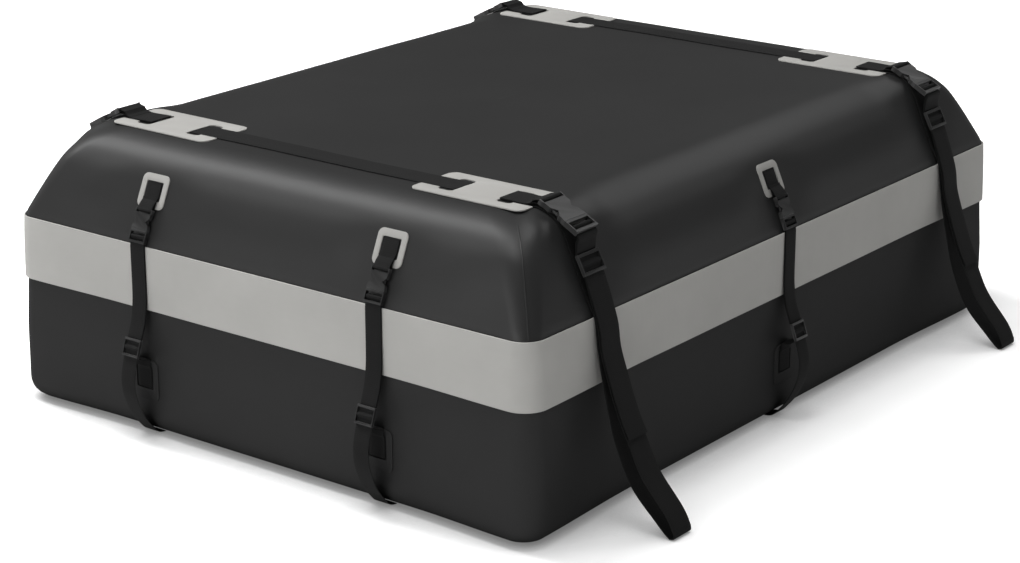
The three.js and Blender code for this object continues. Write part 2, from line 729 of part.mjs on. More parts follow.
function zipSliderSolid() {
  const half = zipSliderLength / 2;
  const [height, post] = [zipPlateHalf, zipSlit / 2 - gap];
  const [foot, end] = [zipBridge.half - zipSliderPlate, zipBridge.half];
  const bridgeTop = -outerPlate[0] + zipTabRoom + zipSliderPlate;
  const bridgeSide = [-zipBridge.width / 2, zipBridge.width / 2];
  return union([
    box([-half, half], [-outerPlate[1], -outerPlate[0]], [-height, height]),
    box([-half, half], [-innerPlate[1], -innerPlate[0]], [-height, height]),
    box([-half, zipPost - half], [-innerPlate[1], -outerPlate[0]], [-post, post]),
    box([-end, -foot], [-outerPlate[1], bridgeTop], bridgeSide),
    box([foot, end], [-outerPlate[1], bridgeTop], bridgeSide),
    box([-end, end], [bridgeTop - zipSliderPlate, bridgeTop], bridgeSide),
  ]);
}

function zipTabSolid() {
  const [start, end] = [zipBridge.half / 7, zipBridge.half * 1.43];
  const across = zipBridge.width * 0.75;
  const tab = plate(roundedRectangle(zipTabLength, 2 * zipPlateHalf - past, zipPost), [0, zipTabSheet])
    .translate([zipTabLength / 2 - start, 0, 0])
    .subtract(box([start, end], [-across, across], [-past, zipTabSheet + past]));
  const upright = new THREE.Matrix4().makeRotationX(Math.PI / 2);
  return tab.transform(upright.setPosition(0, gap + zipTabSheet - outerPlate[0], 0).toArray());
}

function addZipSliders() {
  for (const [name, side] of [['right', 1], ['left', -1]]) {
    const turned = new THREE.Matrix4().makeRotationY(side > 0 ? 0 : Math.PI).toArray();
    const parts = [['slider', zipSliderSolid()], ['tab', zipTabSolid()]];
    for (const [part, solid] of parts) {
      const mesh = addMesh(bag, `zip_${part}_${name}`, solid.transform(turned), 'zipMetal');
      mesh.position.set(side * (zipSliderLength / 2 + zipPost), bagLength / 2, zipMiddle);
    }
  }
}

function addTopWebs() {
  const edge = bagWidth / 2 - topPatch.inset;
  const patch = topPatchSolid();
  for (const [name, row] of [['front', -longRow], ['back', longRow]]) {
    const reach = edge - topPatch.length + topPatch.neck + topPatch.head[0] - webEndRoom;
    const web = box([-reach, reach], [-longStrap.web / 2, longStrap.web / 2], [gap, gap + longStrap.sheet]);
    addMesh(bag, `top_web_${name}`, web, 'web').position.set(0, row, bagHeight);
    for (const [hand, side] of [['right', 1], ['left', -1]]) {
      const mesh = addMesh(bag, `top_patch_${name}_${hand}`, patch, 'patch');
      mesh.position.set(side * (edge - topPatch.length / 2), row, bagHeight);
    }
  }
}

function addShortStraps() {
  const patch = lidPatchSolid();
  const patchFrame = strapFrame(lidSlope.at(lidPatchRise + lidPatch.height / 2, 0), lidLean);
  const web = ribbon(shortStrapPath(), shortStrap.sheet, shortStrap.web);
  const [socket, plug, slider] = [socketSolid, plugSolid, sliderSolid].map((make) => make(shortStrap));
  for (const [name, side, along] of shortSets) {
    const group = sideGroup(side, along);
    addFramed(group, `lid_patch_${name}`, patch, 'patch', patchFrame);
    addFramed(group, `strap_socket_${name}`, socket, 'buckle', shortBuckle);
    addFramed(group, `strap_plug_${name}`, plug, 'buckle', shortBuckle);
    addFramed(group, `strap_slider_${name}`, slider, 'buckle', shortSlider);
    addMesh(group, `strap_web_${name}`, web, 'web');
    bag.add(group);
  }
}

function addLongStraps() {
  const loop = union([ribbon(longStrapPath(), longStrap.sheet, longStrap.web), ...longSocketWeb()]);
  const [socket, plug, slider] = [socketSolid, plugSolid, sliderSolid].map((make) => make(longStrap));
  for (const [name, side, along] of longSets) {
    const group = sideGroup(side, along);
    addFramed(group, `loop_socket_${name}`, socket, 'buckle', longBuckle);
    addFramed(group, `loop_plug_${name}`, plug, 'buckle', longBuckle);
    addFramed(group, `loop_slider_${name}`, slider, 'buckle', longSlider);
    addMesh(group, `loop_web_${name}`, drifted(loop, side === 'right' ? -1 : 1), 'web');
    bag.add(group);
  }
}

addTub();
addLid();
addMesh(bag, 'weather_flap', band(0, flapSheet, [flapBottom, flapTop]), 'flap');
addZipChain();
addZipSliders();
addTopWebs();
addShortStraps();
addLongStraps();

export default bag;
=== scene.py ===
"""Soft roof cargo bag: a tarpaulin tub and lid, a weather flap over the zip, six short straps that
draw the lid down and four long loop straps for the roof rack. Run as a script in Blender.

Sizes inside are millimetres in the bag's own frame: the origin is on the ground under the middle of
the bag, X is across it, Y along it, and its front faces -Y. Meshes are made in metres."""

import math

import bmesh
import bpy
from bpy.props import FloatProperty, FloatVectorProperty, PointerProperty
from bpy.types import Operator, Panel, PropertyGroup
from mathutils import Matrix, Vector, noise


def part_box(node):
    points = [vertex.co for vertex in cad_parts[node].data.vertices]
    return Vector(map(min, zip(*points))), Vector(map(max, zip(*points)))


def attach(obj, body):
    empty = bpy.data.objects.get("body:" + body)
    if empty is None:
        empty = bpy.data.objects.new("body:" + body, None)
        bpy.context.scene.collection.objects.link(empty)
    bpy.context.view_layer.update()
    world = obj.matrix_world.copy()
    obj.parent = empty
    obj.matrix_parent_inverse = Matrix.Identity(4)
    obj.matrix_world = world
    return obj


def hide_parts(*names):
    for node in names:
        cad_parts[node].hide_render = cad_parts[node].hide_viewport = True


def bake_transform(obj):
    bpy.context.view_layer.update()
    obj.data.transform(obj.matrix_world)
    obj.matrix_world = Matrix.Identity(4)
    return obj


bl_info = {
    "name": "Roof Cargo Bag",
    "version": (1, 0, 0),
    "blender": (4, 5, 0),
    "location": "View3D > Sidebar > Cargo Bag",
    "description": "Builds a soft roof cargo bag with its flap, patches, straps and buckles",
    "category": "Object",
}

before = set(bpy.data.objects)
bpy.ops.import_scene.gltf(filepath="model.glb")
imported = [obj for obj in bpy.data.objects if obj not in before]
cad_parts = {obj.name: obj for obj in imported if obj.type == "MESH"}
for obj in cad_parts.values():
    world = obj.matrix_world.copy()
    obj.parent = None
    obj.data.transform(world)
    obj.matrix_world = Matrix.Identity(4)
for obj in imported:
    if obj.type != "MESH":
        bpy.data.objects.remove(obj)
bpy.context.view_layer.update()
MM = 0.001


def cad_size(node, axis):
    """Length of a CAD node along an axis, in metres."""
    low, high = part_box(node)
    return (high - low)[axis]


def srgb(text):
    """Linear colour of a hex value in sRGB."""
    values = [int(text[i:i + 2], 16) / 255 for i in (1, 3, 5)]
    return tuple(v / 12.92 if v <= 0.04045 else ((v + 0.055) / 1.055) ** 2.4 for v in values)


def length(name, description, default):
    """A size of the bag, kept in metres."""
    return FloatProperty(name=name, description=description, default=default, unit="LENGTH", precision=4)


def colour(name, description, default):
    """A colour setting, given as a hex value in sRGB."""
    return FloatVectorProperty(
        name=name, description=description, default=srgb(default), size=3, subtype="COLOR",
        min=0.0, max=1.0,
    )


class CargoBagSizes(PropertyGroup):
    """Sizes of the bag's shells, flap and straps"""

    width: length("Width", "Bag's width over the flap", cad_size("weather_flap", 0))
    length: length("Length", "Bag's length over the flap", cad_size("weather_flap", 1))
    height: length("Height", "Height of the lid's flat top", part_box("top_patch_front_right")[0].z - 0.0003)
    corner: length("Corner radius", "Radius of the bag's upright corners", 0.030)
    shoulder: length("Shoulder radius", "Radius of the lid's shoulder at the long straps", 0.050)
    soft_shoulder: length("Soft shoulder", "Radius of the shoulder where no strap holds it", 0.080)
    swell: length("Swell", "How far the lid's sides bulge between the straps", 0.0055)
    flare: length("Corner flare", "How far the walls stand out at the foot of the corners", 0.0066)
    tub_edge: length("Tub edge radius", "Radius round the bottom of the tub", 0.032)
    flap_sheet: length("Flap sheet", "Thickness of the weather flap", 0.002)
    patch_sheet: length("Patch sheet", "Thickness of the patches on the lid", 0.0015)
    short_web: length("Short strap width", "Width of the six short straps", 0.025)
    long_web: length("Long strap width", "Width of the four long straps", 0.038)
    slack: length("Slack", "How far the tarpaulin falls in between its seams", 0.0016)


class CargoBagColours(PropertyGroup):
    """Colours of the bag's materials"""

    lid: colour("Lid", "Tarpaulin of the lid", "#262626")
    tub: colour("Tub", "Tarpaulin of the tub", "#282828")
    flap: colour("Flap", "Tarpaulin of the weather flap", "#aaa9a6")
    patch: colour("Patches", "Tarpaulin of the light patches", "#9b9a97")
    web: colour("Webbing", "Woven straps", "#1f1f1f")
    buckle: colour("Buckles", "Moulded buckles and sliders", "#262626")
    zip_tape: colour("Zip tape", "Woven tape of the zip", "#1c1c1c")
    zip_metal: colour("Zip metal", "Coated sliders and pull tabs of the zip", "#3a3a3c")


# Materials

def node(tree, kind, inputs=None, links=None, **settings):
    """Adds a shader node, sets its fields and inputs, and links the outputs given."""
    made = tree.nodes.new(kind)
    for name, value in settings.items():
        setattr(made, name, value)
    for name, value in (inputs or {}).items():
        made.inputs[name].default_value = value
    for name, output in (links or {}).items():
        tree.links.new(output, made.inputs[name])
    return made


def new_material(name):
    """An empty node material and its tree."""
    material = bpy.data.materials.new(name)
    material.use_nodes = True
    material.node_tree.nodes.clear()
    return material, material.node_tree


def shade(tree, base, bump, roughness, **constants):
    """Ends a material: base colour, roughness and bump are linked, the rest are constants."""
    inputs = {name.replace("_", " "): value for name, value in constants.items()}
    shader = node(tree, "ShaderNodeBsdfPrincipled", inputs, {
        "Base Color": base, "Normal": bump, "Roughness": roughness,
    })
    node(tree, "ShaderNodeOutputMaterial", links={"Surface": shader.outputs[0]})


def ramp(tree, factor, stops, **settings):
    """Colour ramp with the stops (position, colour or grey level)."""
    made = node(tree, "ShaderNodeValToRGB", links={"Fac": factor}, **settings)
    elements = made.color_ramp.elements
    while len(elements) < len(stops):
        elements.new(0.5)
    for element, (position, value) in zip(elements, stops):
        rgb = (value,) * 3 if isinstance(value, float) else value
        element.position = position
        element.color = (*rgb[:3], 1)
    return made.outputs["Color"]


def lighter(rgb, factor):
    """The colour made lighter, or darker with a factor below 1."""
    return tuple(min(1.0, c * factor) for c in rgb[:3])


def bands(pitch, turns=20.0):
    """Scale at which a wave texture's bands stand `pitch` millimetres apart. The texture turns by 20
    radians a unit along an axis and by 10 on the diagonal."""
    return 2 * math.pi / (turns * pitch * MM)


def mottle(tree, where, size, detail, roughness=0.5):
    """Noise whose patches are `size` millimetres across."""
    return node(tree, "ShaderNodeTexNoise", {"Scale": 1000 / size, "Detail": detail, "Roughness": roughness},
                {"Vector": where}).outputs["Fac"]


def maths(tree, operation, *values):
    """Result of one operation on values that are links or floats."""
    inputs = {i: value for i, value in enumerate(values) if isinstance(value, float)}
    links = {i: value for i, value in enumerate(values) if i not in inputs}
    return node(tree, "ShaderNodeMath", inputs, links, operation=operation).outputs[0]


def mapped(tree, value, low, high, start=0.0, end=1.0):
    """The value, carried from start..end to low..high."""
    return node(tree, "ShaderNodeMapRange", {
        "From Min": start, "From Max": end, "To Min": low, "To Max": high,
    }, {"Value": value}).outputs[0]


def relief(tree, height, strength, depth, **under):
    """Bump `depth` millimetres deep, over the normal given as Normal."""
    return node(tree, "ShaderNodeBump", {"Strength": strength, "Distance": depth * MM},
                {"Height": height, **under}).outputs[0]


def painted_edge_highlight(tree, tone, pale, sharp, share):
    """The tone with a painted highlight: a paler colour along the outer edges, where the surface bends most.
    """
    bend = node(tree, "ShaderNodeNewGeometry").outputs["Pointiness"]
    edge = ramp(tree, bend, [(0.52, 0.0), (sharp, share)])
    return node(tree, "ShaderNodeMix", {"B": (*pale, 1)}, {"Factor": edge, "A": tone},
                data_type="RGBA").outputs["Result"]


def tarpaulin(name, rgb, rough, lacquer, sheen=1.14):
    """PVC-coated polyester, calendered and lacquered: a matt skin with a broad soft shine from its thin
    acrylic lacquer, the scrim inside as a faint grid, a leathery grain, and slow changes of tone where
    it has been rolled and handled. The lacquer lies in patches between the pebbles of the grain, so it
    shines alike at all angles: a thin share of a dense coat gives the eye that."""
    material, tree = new_material(name)
    where = node(tree, "ShaderNodeTexCoord").outputs["Object"]
    # the scrim's threads are 1 mm apart, too fine to show, and are drawn 9.87 mm apart
    threads = [
        node(tree, "ShaderNodeTexWave", {"Scale": bands(9.87), "Distortion": 0.6, "Detail": 1.0},
             {"Vector": where}, wave_type="BANDS", bands_direction=axis).outputs["Fac"]
        for axis in ("X", "Y", "Z")
    ]
    scrim = maths(tree, "ADD", maths(tree, "ADD", threads[0], threads[1]), threads[2])
    # pebbles of the grain about 1.2 mm across
    grain = mottle(tree, where, 1.2, 3.0, 0.6)
    # handling marks about 160 mm long, and scuffs of 22 mm between them
    marks = mottle(tree, where, 160, 4.0, 0.55)
    scuffs = mottle(tree, where, 22, 6.0, 0.7)
    tone = ramp(tree, marks, [(0.3, lighter(rgb, 0.94)), (0.7, lighter(rgb, 1.05))])
    # painted highlight: the bent edges are painted up to `sheen` times paler
    base = painted_edge_highlight(tree, tone, lighter(rgb, sheen), 0.6, 0.35)
    handled = maths(tree, "MULTIPLY_ADD", marks, 0.5, scuffs)
    roughness = mapped(tree, handled, rough - 0.05, rough + 0.06, 0.35, 1.1)
    weave = relief(tree, scrim, 0.05, 0.4)
    bump = relief(tree, grain, 0.16, 0.3, Normal=weave)
    shade(tree, base, bump, roughness, IOR=1.53, Specular_IOR_Level=0.0,
          Coat_Weight=lacquer, Coat_IOR=2.5, Coat_Roughness=rough - 0.08)
    return material


def webbing(name, rgb, rib, rough):
    """Woven polyester webbing: ribs of warp across the strap and slanting yarns along it make a dull,
    grainy black whose two bound edges catch a little light."""
    material, tree = new_material(name)
    strap = node(tree, "ShaderNodeAttribute", attribute_name="strap", attribute_type="GEOMETRY")
    split = node(tree, "ShaderNodeSeparateXYZ", links={0: strap.outputs["Vector"]})
    along, across = split.outputs[0], split.outputs[1]
    # yarns stand `rib` millimetres apart, twice the real pitch so that they show
    waves = [
        maths(tree, "SINE", maths(tree, "MULTIPLY", value, 2 * math.pi / (rib * MM)))
        for value in (maths(tree, "ADD", along, across), across)
    ]
    # fibres about 0.9 mm across
    fibres = mottle(tree, strap.outputs["Vector"], 0.9, 2.0)
    level = maths(tree, "MULTIPLY_ADD", maths(tree, "MULTIPLY", *waves), 0.25, fibres)
    base = ramp(tree, level, [(0.2, lighter(rgb, 0.78)), (0.85, lighter(rgb, 1.22))])
    roughness = mapped(tree, fibres, rough - 0.06, rough + 0.08)
    shade(tree, base, relief(tree, level, 0.45, 0.4), roughness, IOR=1.5, Specular_IOR_Level=0.05)
    return material


def moulded(name, rgb, rough):
    """Injection-moulded nylon: a fine spark-eroded grain keeps the faces satin, and a painted highlight makes
    the rounded edges paler."""
    material, tree = new_material(name)
    where = node(tree, "ShaderNodeTexCoord").outputs["Object"]
    # grain about 0.4 mm, drawn at 0.8 mm
    grain = mottle(tree, where, 0.8, 2.0)
    # flow marks of the melt about 18 mm long
    flow = mottle(tree, where, 18, 3.0)
    tone = ramp(tree, flow, [(0.3, lighter(rgb, 0.9)), (0.7, lighter(rgb, 1.08))])
    # painted highlight: the rounded edges are painted seven times paler
    base = painted_edge_highlight(tree, tone, lighter(rgb, 7.0), 0.62, 0.6)
    roughness = mapped(tree, grain, rough - 0.04, rough + 0.08)
    shade(tree, base, relief(tree, grain, 0.12, 0.2), roughness, IOR=1.53, Specular_IOR_Level=0.12)
    return material


def coated_metal(name, rgb, rough):
    """Die-cast zinc with a dark lacquer: smooth and glossy, and slightly uneven."""
    material, tree = new_material(name)
    where = node(tree, "ShaderNodeTexCoord").outputs["Object"]
    # unevenness of the film about 3 mm across
    film = mottle(tree, where, 3, 3.0)
    base = ramp(tree, film, [(0.3, lighter(rgb, 0.85)), (0.7, lighter(rgb, 1.15))])
    roughness = mapped(tree, film, rough - 0.05, rough + 0.1)
    shade(tree, base, relief(tree, film, 0.05, 0.2), roughness, Metallic=0.85)
    return material


def zip_tape(name, rgb, rough):
    """Woven polyester tape with a moulded coil: slanting yarns give it a dull, slightly uneven black."""
    material, tree = new_material(name)
    where = node(tree, "ShaderNodeTexCoord").outputs["Object"]
    # the yarns are 0.6 mm apart, too fine to show, and are drawn 4.74 mm apart
    yarns = node(tree, "ShaderNodeTexWave", {"Scale": bands(4.74, 10.0), "Distortion": 1.5, "Detail": 2.0},
                 {"Vector": where}, wave_type="BANDS", bands_direction="DIAGONAL").outputs["Fac"]
    base = ramp(tree, yarns, [(0.2, lighter(rgb, 0.8)), (0.8, lighter(rgb, 1.3))])
    roughness = mapped(tree, yarns, rough - 0.05, rough + 0.05)
    shade(tree, base, relief(tree, yarns, 0.4, 0.3), roughness, IOR=1.5, Specular_IOR_Level=0.3)
    return material


def finishes():
    """Materials by the record's material slot, made once."""
    colours = bpy.context.scene.cargo_bag_colours
    makers = {
        "lid_tarpaulin": (tarpaulin, "pvc_tarpaulin_lid", colours.lid, 0.52, 0.13),
        "tub_tarpaulin": (tarpaulin, "pvc_tarpaulin_tub", colours.tub, 0.58, 0.05),
        "flap_tarpaulin": (tarpaulin, "pvc_tarpaulin_flap", colours.flap, 0.6, 0.04, 1.03),
        "patch_tarpaulin": (tarpaulin, "pvc_tarpaulin_patch", colours.patch, 0.6, 0.04, 1.03),
        "webbing": (webbing, "woven_polyester_webbing", colours.web, 2.4, 0.78),
        "buckle_plastic": (moulded, "moulded_nylon", colours.buckle, 0.4),
        "zip_tape": (zip_tape, "woven_zip_tape", colours.zip_tape, 0.7),
        "zip_metal": (coated_metal, "lacquered_zinc", colours.zip_metal, 0.35),
    }
    made = {}
    for slot, (maker, name, rgb, *rest) in makers.items():
        made[slot] = bpy.data.materials.get(name) or maker(name, tuple(rgb), *rest)
    return made


# Meshes

SHARP_EDGE = math.radians(32)


def add_piece(name, points, faces, slot, body="bag", replaces=(), strap=None, blend=None):
    """Makes a piece from points in millimetres. `strap` holds each point's place along and across a web."""
    mesh = bpy.data.meshes.new(name)
    mesh.from_pydata([Vector(p) * MM for p in points], [], faces)
    if strap:
        attribute = mesh.attributes.new("strap", "FLOAT_VECTOR", "POINT")
        attribute.data.foreach_set("vector", [c * MM for pair in strap for c in (*pair, 0.0)])
    return finish_piece(name, mesh, slot, body, replaces, blend)


def finish_piece(name, mesh, slot, body, replaces, blend=None):
    """Gives a mesh its normals and material, and lets it ride on its body, or, with `blend` given, bakes its
    place into the mesh and leaves it on no body.
    """
    shape = bmesh.new()
    shape.from_mesh(mesh)
    bmesh.ops.recalc_face_normals(shape, faces=shape.faces)
    shape.to_mesh(mesh)
    shape.free()
    mesh.shade_smooth()
    mesh.set_sharp_from_angle(angle=SHARP_EDGE)
    mesh.materials.clear()
    mesh.materials.append(finishes()[slot])
    piece = bpy.data.objects.new(name, mesh)
    bpy.context.scene.collection.objects.link(piece)
    if blend:
        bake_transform(piece)
    else:
        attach(piece, body)
    if replaces:
        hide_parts(*replaces)
    return piece


def tube_faces(rings, count, closed_ends=True):
    """Faces of a tube of `rings` rings of `count` points each."""
    faces = []
    for ring in range(rings - 1):
        for i in range(count):
            a, b = ring * count + i, ring * count + (i + 1) % count
            faces.append((a, b, b + count, a + count))
    if closed_ends:
        faces.append(tuple(range(count)))
        faces.append(tuple(reversed(range((rings - 1) * count, rings * count))))
    return faces


# Layout of the bag, in millimetres

SIDE_TURN = {"front": math.pi, "back": 0.0, "right": -math.pi / 2, "left": math.pi / 2}
CORNERS = (("front_right", 1, -1), ("front_left", -1, -1), ("back_right", 1, 1), ("back_left", -1, 1))
QUARTERS = ((1, -1, -90), (1, 1, 0), (-1, 1, 90), (-1, -1, 180))  # each corner and where its arc starts
LID_LEAN = math.radians(24)  # of the lid's sides from upright
# levels as shares of the bag's height
TUB_TOP, FLAP_TOP, FLAP_HEIGHT, PATCH_RISE = 0.601, 0.684, 0.2254, 0.1295
# how far inside the flap's outer face the tub, its waist and the zip stand
TUB_INSET, WAIST_INSET, ZIP_INSET = 2.0, 5.0, 9.0
BOTTOM_INSETS = (300.0, 120.0)  # of the rings under the tub
ZIP_GAP = 8.0  # from the tub's or the lid's edge to where the zip's tape is sewn
SHEET = 2.5  # drawn thickness of the tub and of the lid's skirt
SHEET_EDGE = 0.5  # rounding of a cut edge
GAP = 0.3  # between pieces that lie on each other
CORNER_GROWTH = 0.3  # of the corner radius, per millimetre that the slope goes in
CORNER_STEPS = 14
RING_STEP = 22.0  # between the points of a ring
TUB_SLACK = 0.8  # of the tub, as a share of the lid's
FLAP_SLACK = 1.2
FLARE_FROM = (245.0, 330.0)  # where the flare starts, across and along from the middle
SWELL_PAST = 25.0  # how far the swell runs on over the shoulder
WELD_GROOVE = 1.2  # depth of the lid's fold where the flap is welded on

# patches and their windows, width and height, and the border above or below the window
TUB_PATCH, TUB_WINDOW, TUB_BORDER = (48.0, 56.0), (30.0, 32.0), 8.0
LID_PATCH, LID_WINDOW, LID_BORDER = (47.0, 46.0), (29.5, 26.0), 10.0
LID_PATCH_DOWN = 5.4  # from the firm shoulder to the patch
PATCH_LIFT = 0.1  # of the light patches off the lid
TOP_PATCH = (174.0, 90.0)
TOP_PATCH_IN = 90.0  # from the bag's sides
TOP_NECK = 30.0  # length of the slots' necks
TOP_HEAD = (23.0, 53.0)
END_ROOM = 1.5  # from a window's edge to the end of the web in it
TOP_WEB_END = TOP_PATCH_IN + TOP_NECK + TOP_HEAD[0] - END_ROOM

# straps, buckles and sliders
LONG_ROW_IN = 145.0  # of the long straps, from the bag's ends
SHORT_ROW = 201.5  # of the short straps in front and behind, from the middle
SHORT = dict(
    sheet=1.2, thickness=6.5, end_bar=3, slot=4, rod=1.4, shoulder=3, socket_length=23, socket_slot=3,
    socket_bar=1.3, slider_height=24, slider_rod=1.2,
)
LONG = dict(
    sheet=1.4, thickness=8, end_bar=4, slot=5, rod=1.5, shoulder=4, socket_length=36, socket_slot=4,
    socket_bar=1.5, slider_height=27, slider_rod=1.3,
)
# how far down from the lid patch's foot, the flap's lower edge or the shoulder, and out
SHORT_BUCKLE, SHORT_SLIDER = (47.8, 2.2), (50.0, 16.6)
LONG_BUCKLE, LONG_SLIDER = (43.3, 1.7), (38.3, 6.6)
SHORT_SLIDER_LEAN, LONG_BUCKLE_LEAN, LONG_SLIDER_LEAN = (math.radians(a) for a in (19, 61.7, 27.5))


def V2(x, y):
    """Two coordinates as a vector."""
    return Vector((x, y))


class Layout:
    """Sizes in millimetres, worked out from the bag's size group."""

    def __init__(self):
        sizes = bpy.context.scene.cargo_bag_sizes
        for name in sizes.__annotations__:
            setattr(self, name, getattr(sizes, name) / MM)
        self.short = dict(SHORT, web=self.short_web)
        self.long = dict(LONG, web=self.long_web)
        self.tub_top = self.height * TUB_TOP
        self.flap_top = self.height * FLAP_TOP
        self.flap_bottom = self.flap_top - self.height * FLAP_HEIGHT
        self.flap_inset = self.flap_sheet + GAP
        self.patch_rise = self.height * PATCH_RISE
        self.patch_top = self.patch_rise + TUB_PATCH[1]
        self.long_row = self.length / 2 - LONG_ROW_IN
        self.slope = StrapFrame((-self.flap_inset, self.flap_top), LID_LEAN)
        self.top = StrapFrame((0, self.height), math.pi / 2)
        self.shoulder_centre, self.slope_length = self.section(self.shoulder)
        self.soft_centre, self.soft_length = self.section(self.soft_shoulder)
        self.lid_patch_rise = self.slope_length - LID_PATCH_DOWN - LID_PATCH[1]
        self.place_buckles()

    def place_buckles(self):
        """Frames of the buckles and sliders of both kinds of strap."""
        down, out = SHORT_BUCKLE
        self.short_rise = self.lid_patch_rise - down
        self.short_buckle = StrapFrame(self.slope.at(self.short_rise, out), LID_LEAN)
        down, out = SHORT_SLIDER
        self.short_slider = StrapFrame((out, self.flap_bottom - down), SHORT_SLIDER_LEAN)
        down, out = LONG_BUCKLE
        over = StrapFrame(self.shoulder_centre, LONG_BUCKLE_LEAN)
        self.long_buckle = StrapFrame(over.at(-down, self.shoulder + out), LONG_BUCKLE_LEAN)
        down, out = LONG_SLIDER
        self.long_slider = StrapFrame(self.slope.at(self.slope_length - down, out), LONG_SLIDER_LEAN)

    def section(self, radius):
        """Middle of a shoulder of this radius, and the length of the slope below it."""
        z = self.height - radius
        rise = math.sin(LID_LEAN) * (z - self.flap_top)
        centre = Vector((-(self.flap_inset + (radius + rise) / math.cos(LID_LEAN)), z))
        return centre, (centre - self.slope.at(0, 0)).dot(self.slope.up)

    def short_sets(self):
        """Name of each short strap and the frame of its side."""
        rows = [(f"{side}_{hand}", side, along) for side in ("front", "back")
                for hand, along in (("right", SHORT_ROW), ("left", -SHORT_ROW))]
        rows += [(f"side_{side}", side, 0.0) for side in ("right", "left")]
        return [(name, self.side_matrix(side, along)) for name, side, along in rows]

    def long_sets(self):
        """Name of each long strap, the frame of its side, and which way is back in it."""
        return [(name, self.side_matrix("right" if x > 0 else "left", y * self.long_row), -x)
                for name, x, y in CORNERS]

    def side_matrix(self, side, along):
        """From a side's own frame (x along the side, y out of it, z up) to the bag's frame."""
        turn = SIDE_TURN[side]
        reach = (self.length if side in ("front", "back") else self.width) / 2
        out = (-math.sin(turn), math.cos(turn))
        place = (out[0] * reach + along * abs(out[1]), out[1] * reach + along * abs(out[0]), 0)
        return Matrix.Translation(place) @ Matrix.Rotation(turn, 4, "Z")


class StrapFrame:
    """A frame on a side's middle plane: s runs up the strap and n out from it."""

    def __init__(self, origin, lean):
        self.origin = Vector(origin)
        self.up = Vector((-math.sin(lean), math.cos(lean)))
        self.out = Vector((math.cos(lean), math.sin(lean)))

    def at(self, s, n):
        """Point of the plane, s up and n out."""
        return self.origin + self.up * s + self.out * n

    def place(self, x, s, n):
        """Point in the side's frame of x across, s up and n out."""
        y, z = self.at(s, n)
        return Vector((-x, y, z))


def plan_ring(layout, inset, z, radius):
    """Ring round the bag at an inset: corner arcs and evenly divided straights."""
    half = (layout.width / 2 - inset - radius, layout.length / 2 - inset - radius)
    across = round(layout.width / RING_STEP)
    along = round(layout.length / RING_STEP)
    ring = []
    corners = [(half[0] * x, half[1] * y, turn) for x, y, turn in QUARTERS]
    for k, (cx, cy, start) in enumerate(corners):
        for i in range(CORNER_STEPS + 1):
            angle = math.radians(start + 90 * i / CORNER_STEPS)
            ring.append(Vector((cx + radius * math.cos(angle), cy + radius * math.sin(angle), z)))
        nx, ny, following = corners[(k + 1) % 4]
        angle = math.radians(following)
        goal = Vector((nx + radius * math.cos(angle), ny + radius * math.sin(angle), z))
        steps = along if k % 2 == 0 else across
        ring += [ring[-1].lerp(goal, j / steps) for j in range(1, steps)]
    return ring


def ease(value, low, high):
    """0 below low, 1 above high, and smooth in between."""
    t = min(1.0, max(0.0, (value - low) / (high - low)))
    return t * t * (3 - 2 * t)


def fall(point, reach, seed):
    """Slow waves of a slack sheet, from 0 to 1, `reach` millimetres long."""
    return 0.5 + 0.5 * noise.noise(Vector(point) / reach + Vector((seed, seed * 2.3, -seed)))


def waves(point, slow, quick):
    """Slow and quick waves of a slack sheet together, each given by its reach and seed."""
    return fall(point, *slow) * 0.7 + fall(point, *quick) * 0.3


def lid_slack(layout, point):
    """How far the lid's sheet falls in at a point, in millimetres."""
    x, y, z = point
    hold = ease(z, layout.flap_top + 2, layout.flap_top + 45)
    top = ease(z, layout.height - 14, layout.height - 0.5)
    middle = (1 - (2 * x / layout.width) ** 2) * (1 - (2 * y / layout.length) ** 2)
    return (layout.slack * hold * waves(point, (190, 3.1), (75, 8.4))
            * (1 + 0.9 * top * max(0.0, middle)))


def corner_flare(layout, point):
    """How far a wall stands out at a point: nothing at the straps, most at the foot of the corners."""
    x, y, z = point
    foot = 1 - min(1.0, max(0.0, z / layout.flap_top)) ** 2.4
    across = ease(abs(x), FLARE_FROM[0], layout.width / 2 - 20)
    along = ease(abs(y), FLARE_FROM[1], layout.length / 2 - 20)
    return layout.flare * foot * min(across, along)


def outward(ring, index):
    """Horizontal direction out of the bag at a point of a ring."""
    before, after = ring[index - 1], ring[(index + 1) % len(ring)]
    step = after - before
    return Vector((step.y, -step.x, 0)).normalized()


def pushed(ring, reach):
    """The ring with each point moved out by reach(point)."""
    return [point + outward(ring, i) * reach(point) for i, point in enumerate(ring)]


def slope_corner(layout, inset):
    """Corner radius of the lid's ring at an inset."""
    start = layout.flap_inset
    return layout.corner - start + CORNER_GROWTH * (min(inset, layout.shoulder) - start)


def firm_reach(layout, angle):
    """How far outside the soft shoulder the firm one lies, which the long straps' webs run over."""
    soft, firm = layout.soft_shoulder, layout.shoulder
    half = (math.pi / 2 - LID_LEAN) / 2
    from_slope, from_top = angle - LID_LEAN, math.pi / 2 - angle
    flat = math.atan((soft - firm) * math.tan(half) / soft)
    if min(from_slope, from_top) < flat:
        return soft / math.cos(min(from_slope, from_top)) - soft
    apart = (soft - firm) / math.cos(half)
    turn = angle - LID_LEAN - half
    return apart * math.cos(turn) + math.sqrt(firm ** 2 - (apart * math.sin(turn)) ** 2) - soft


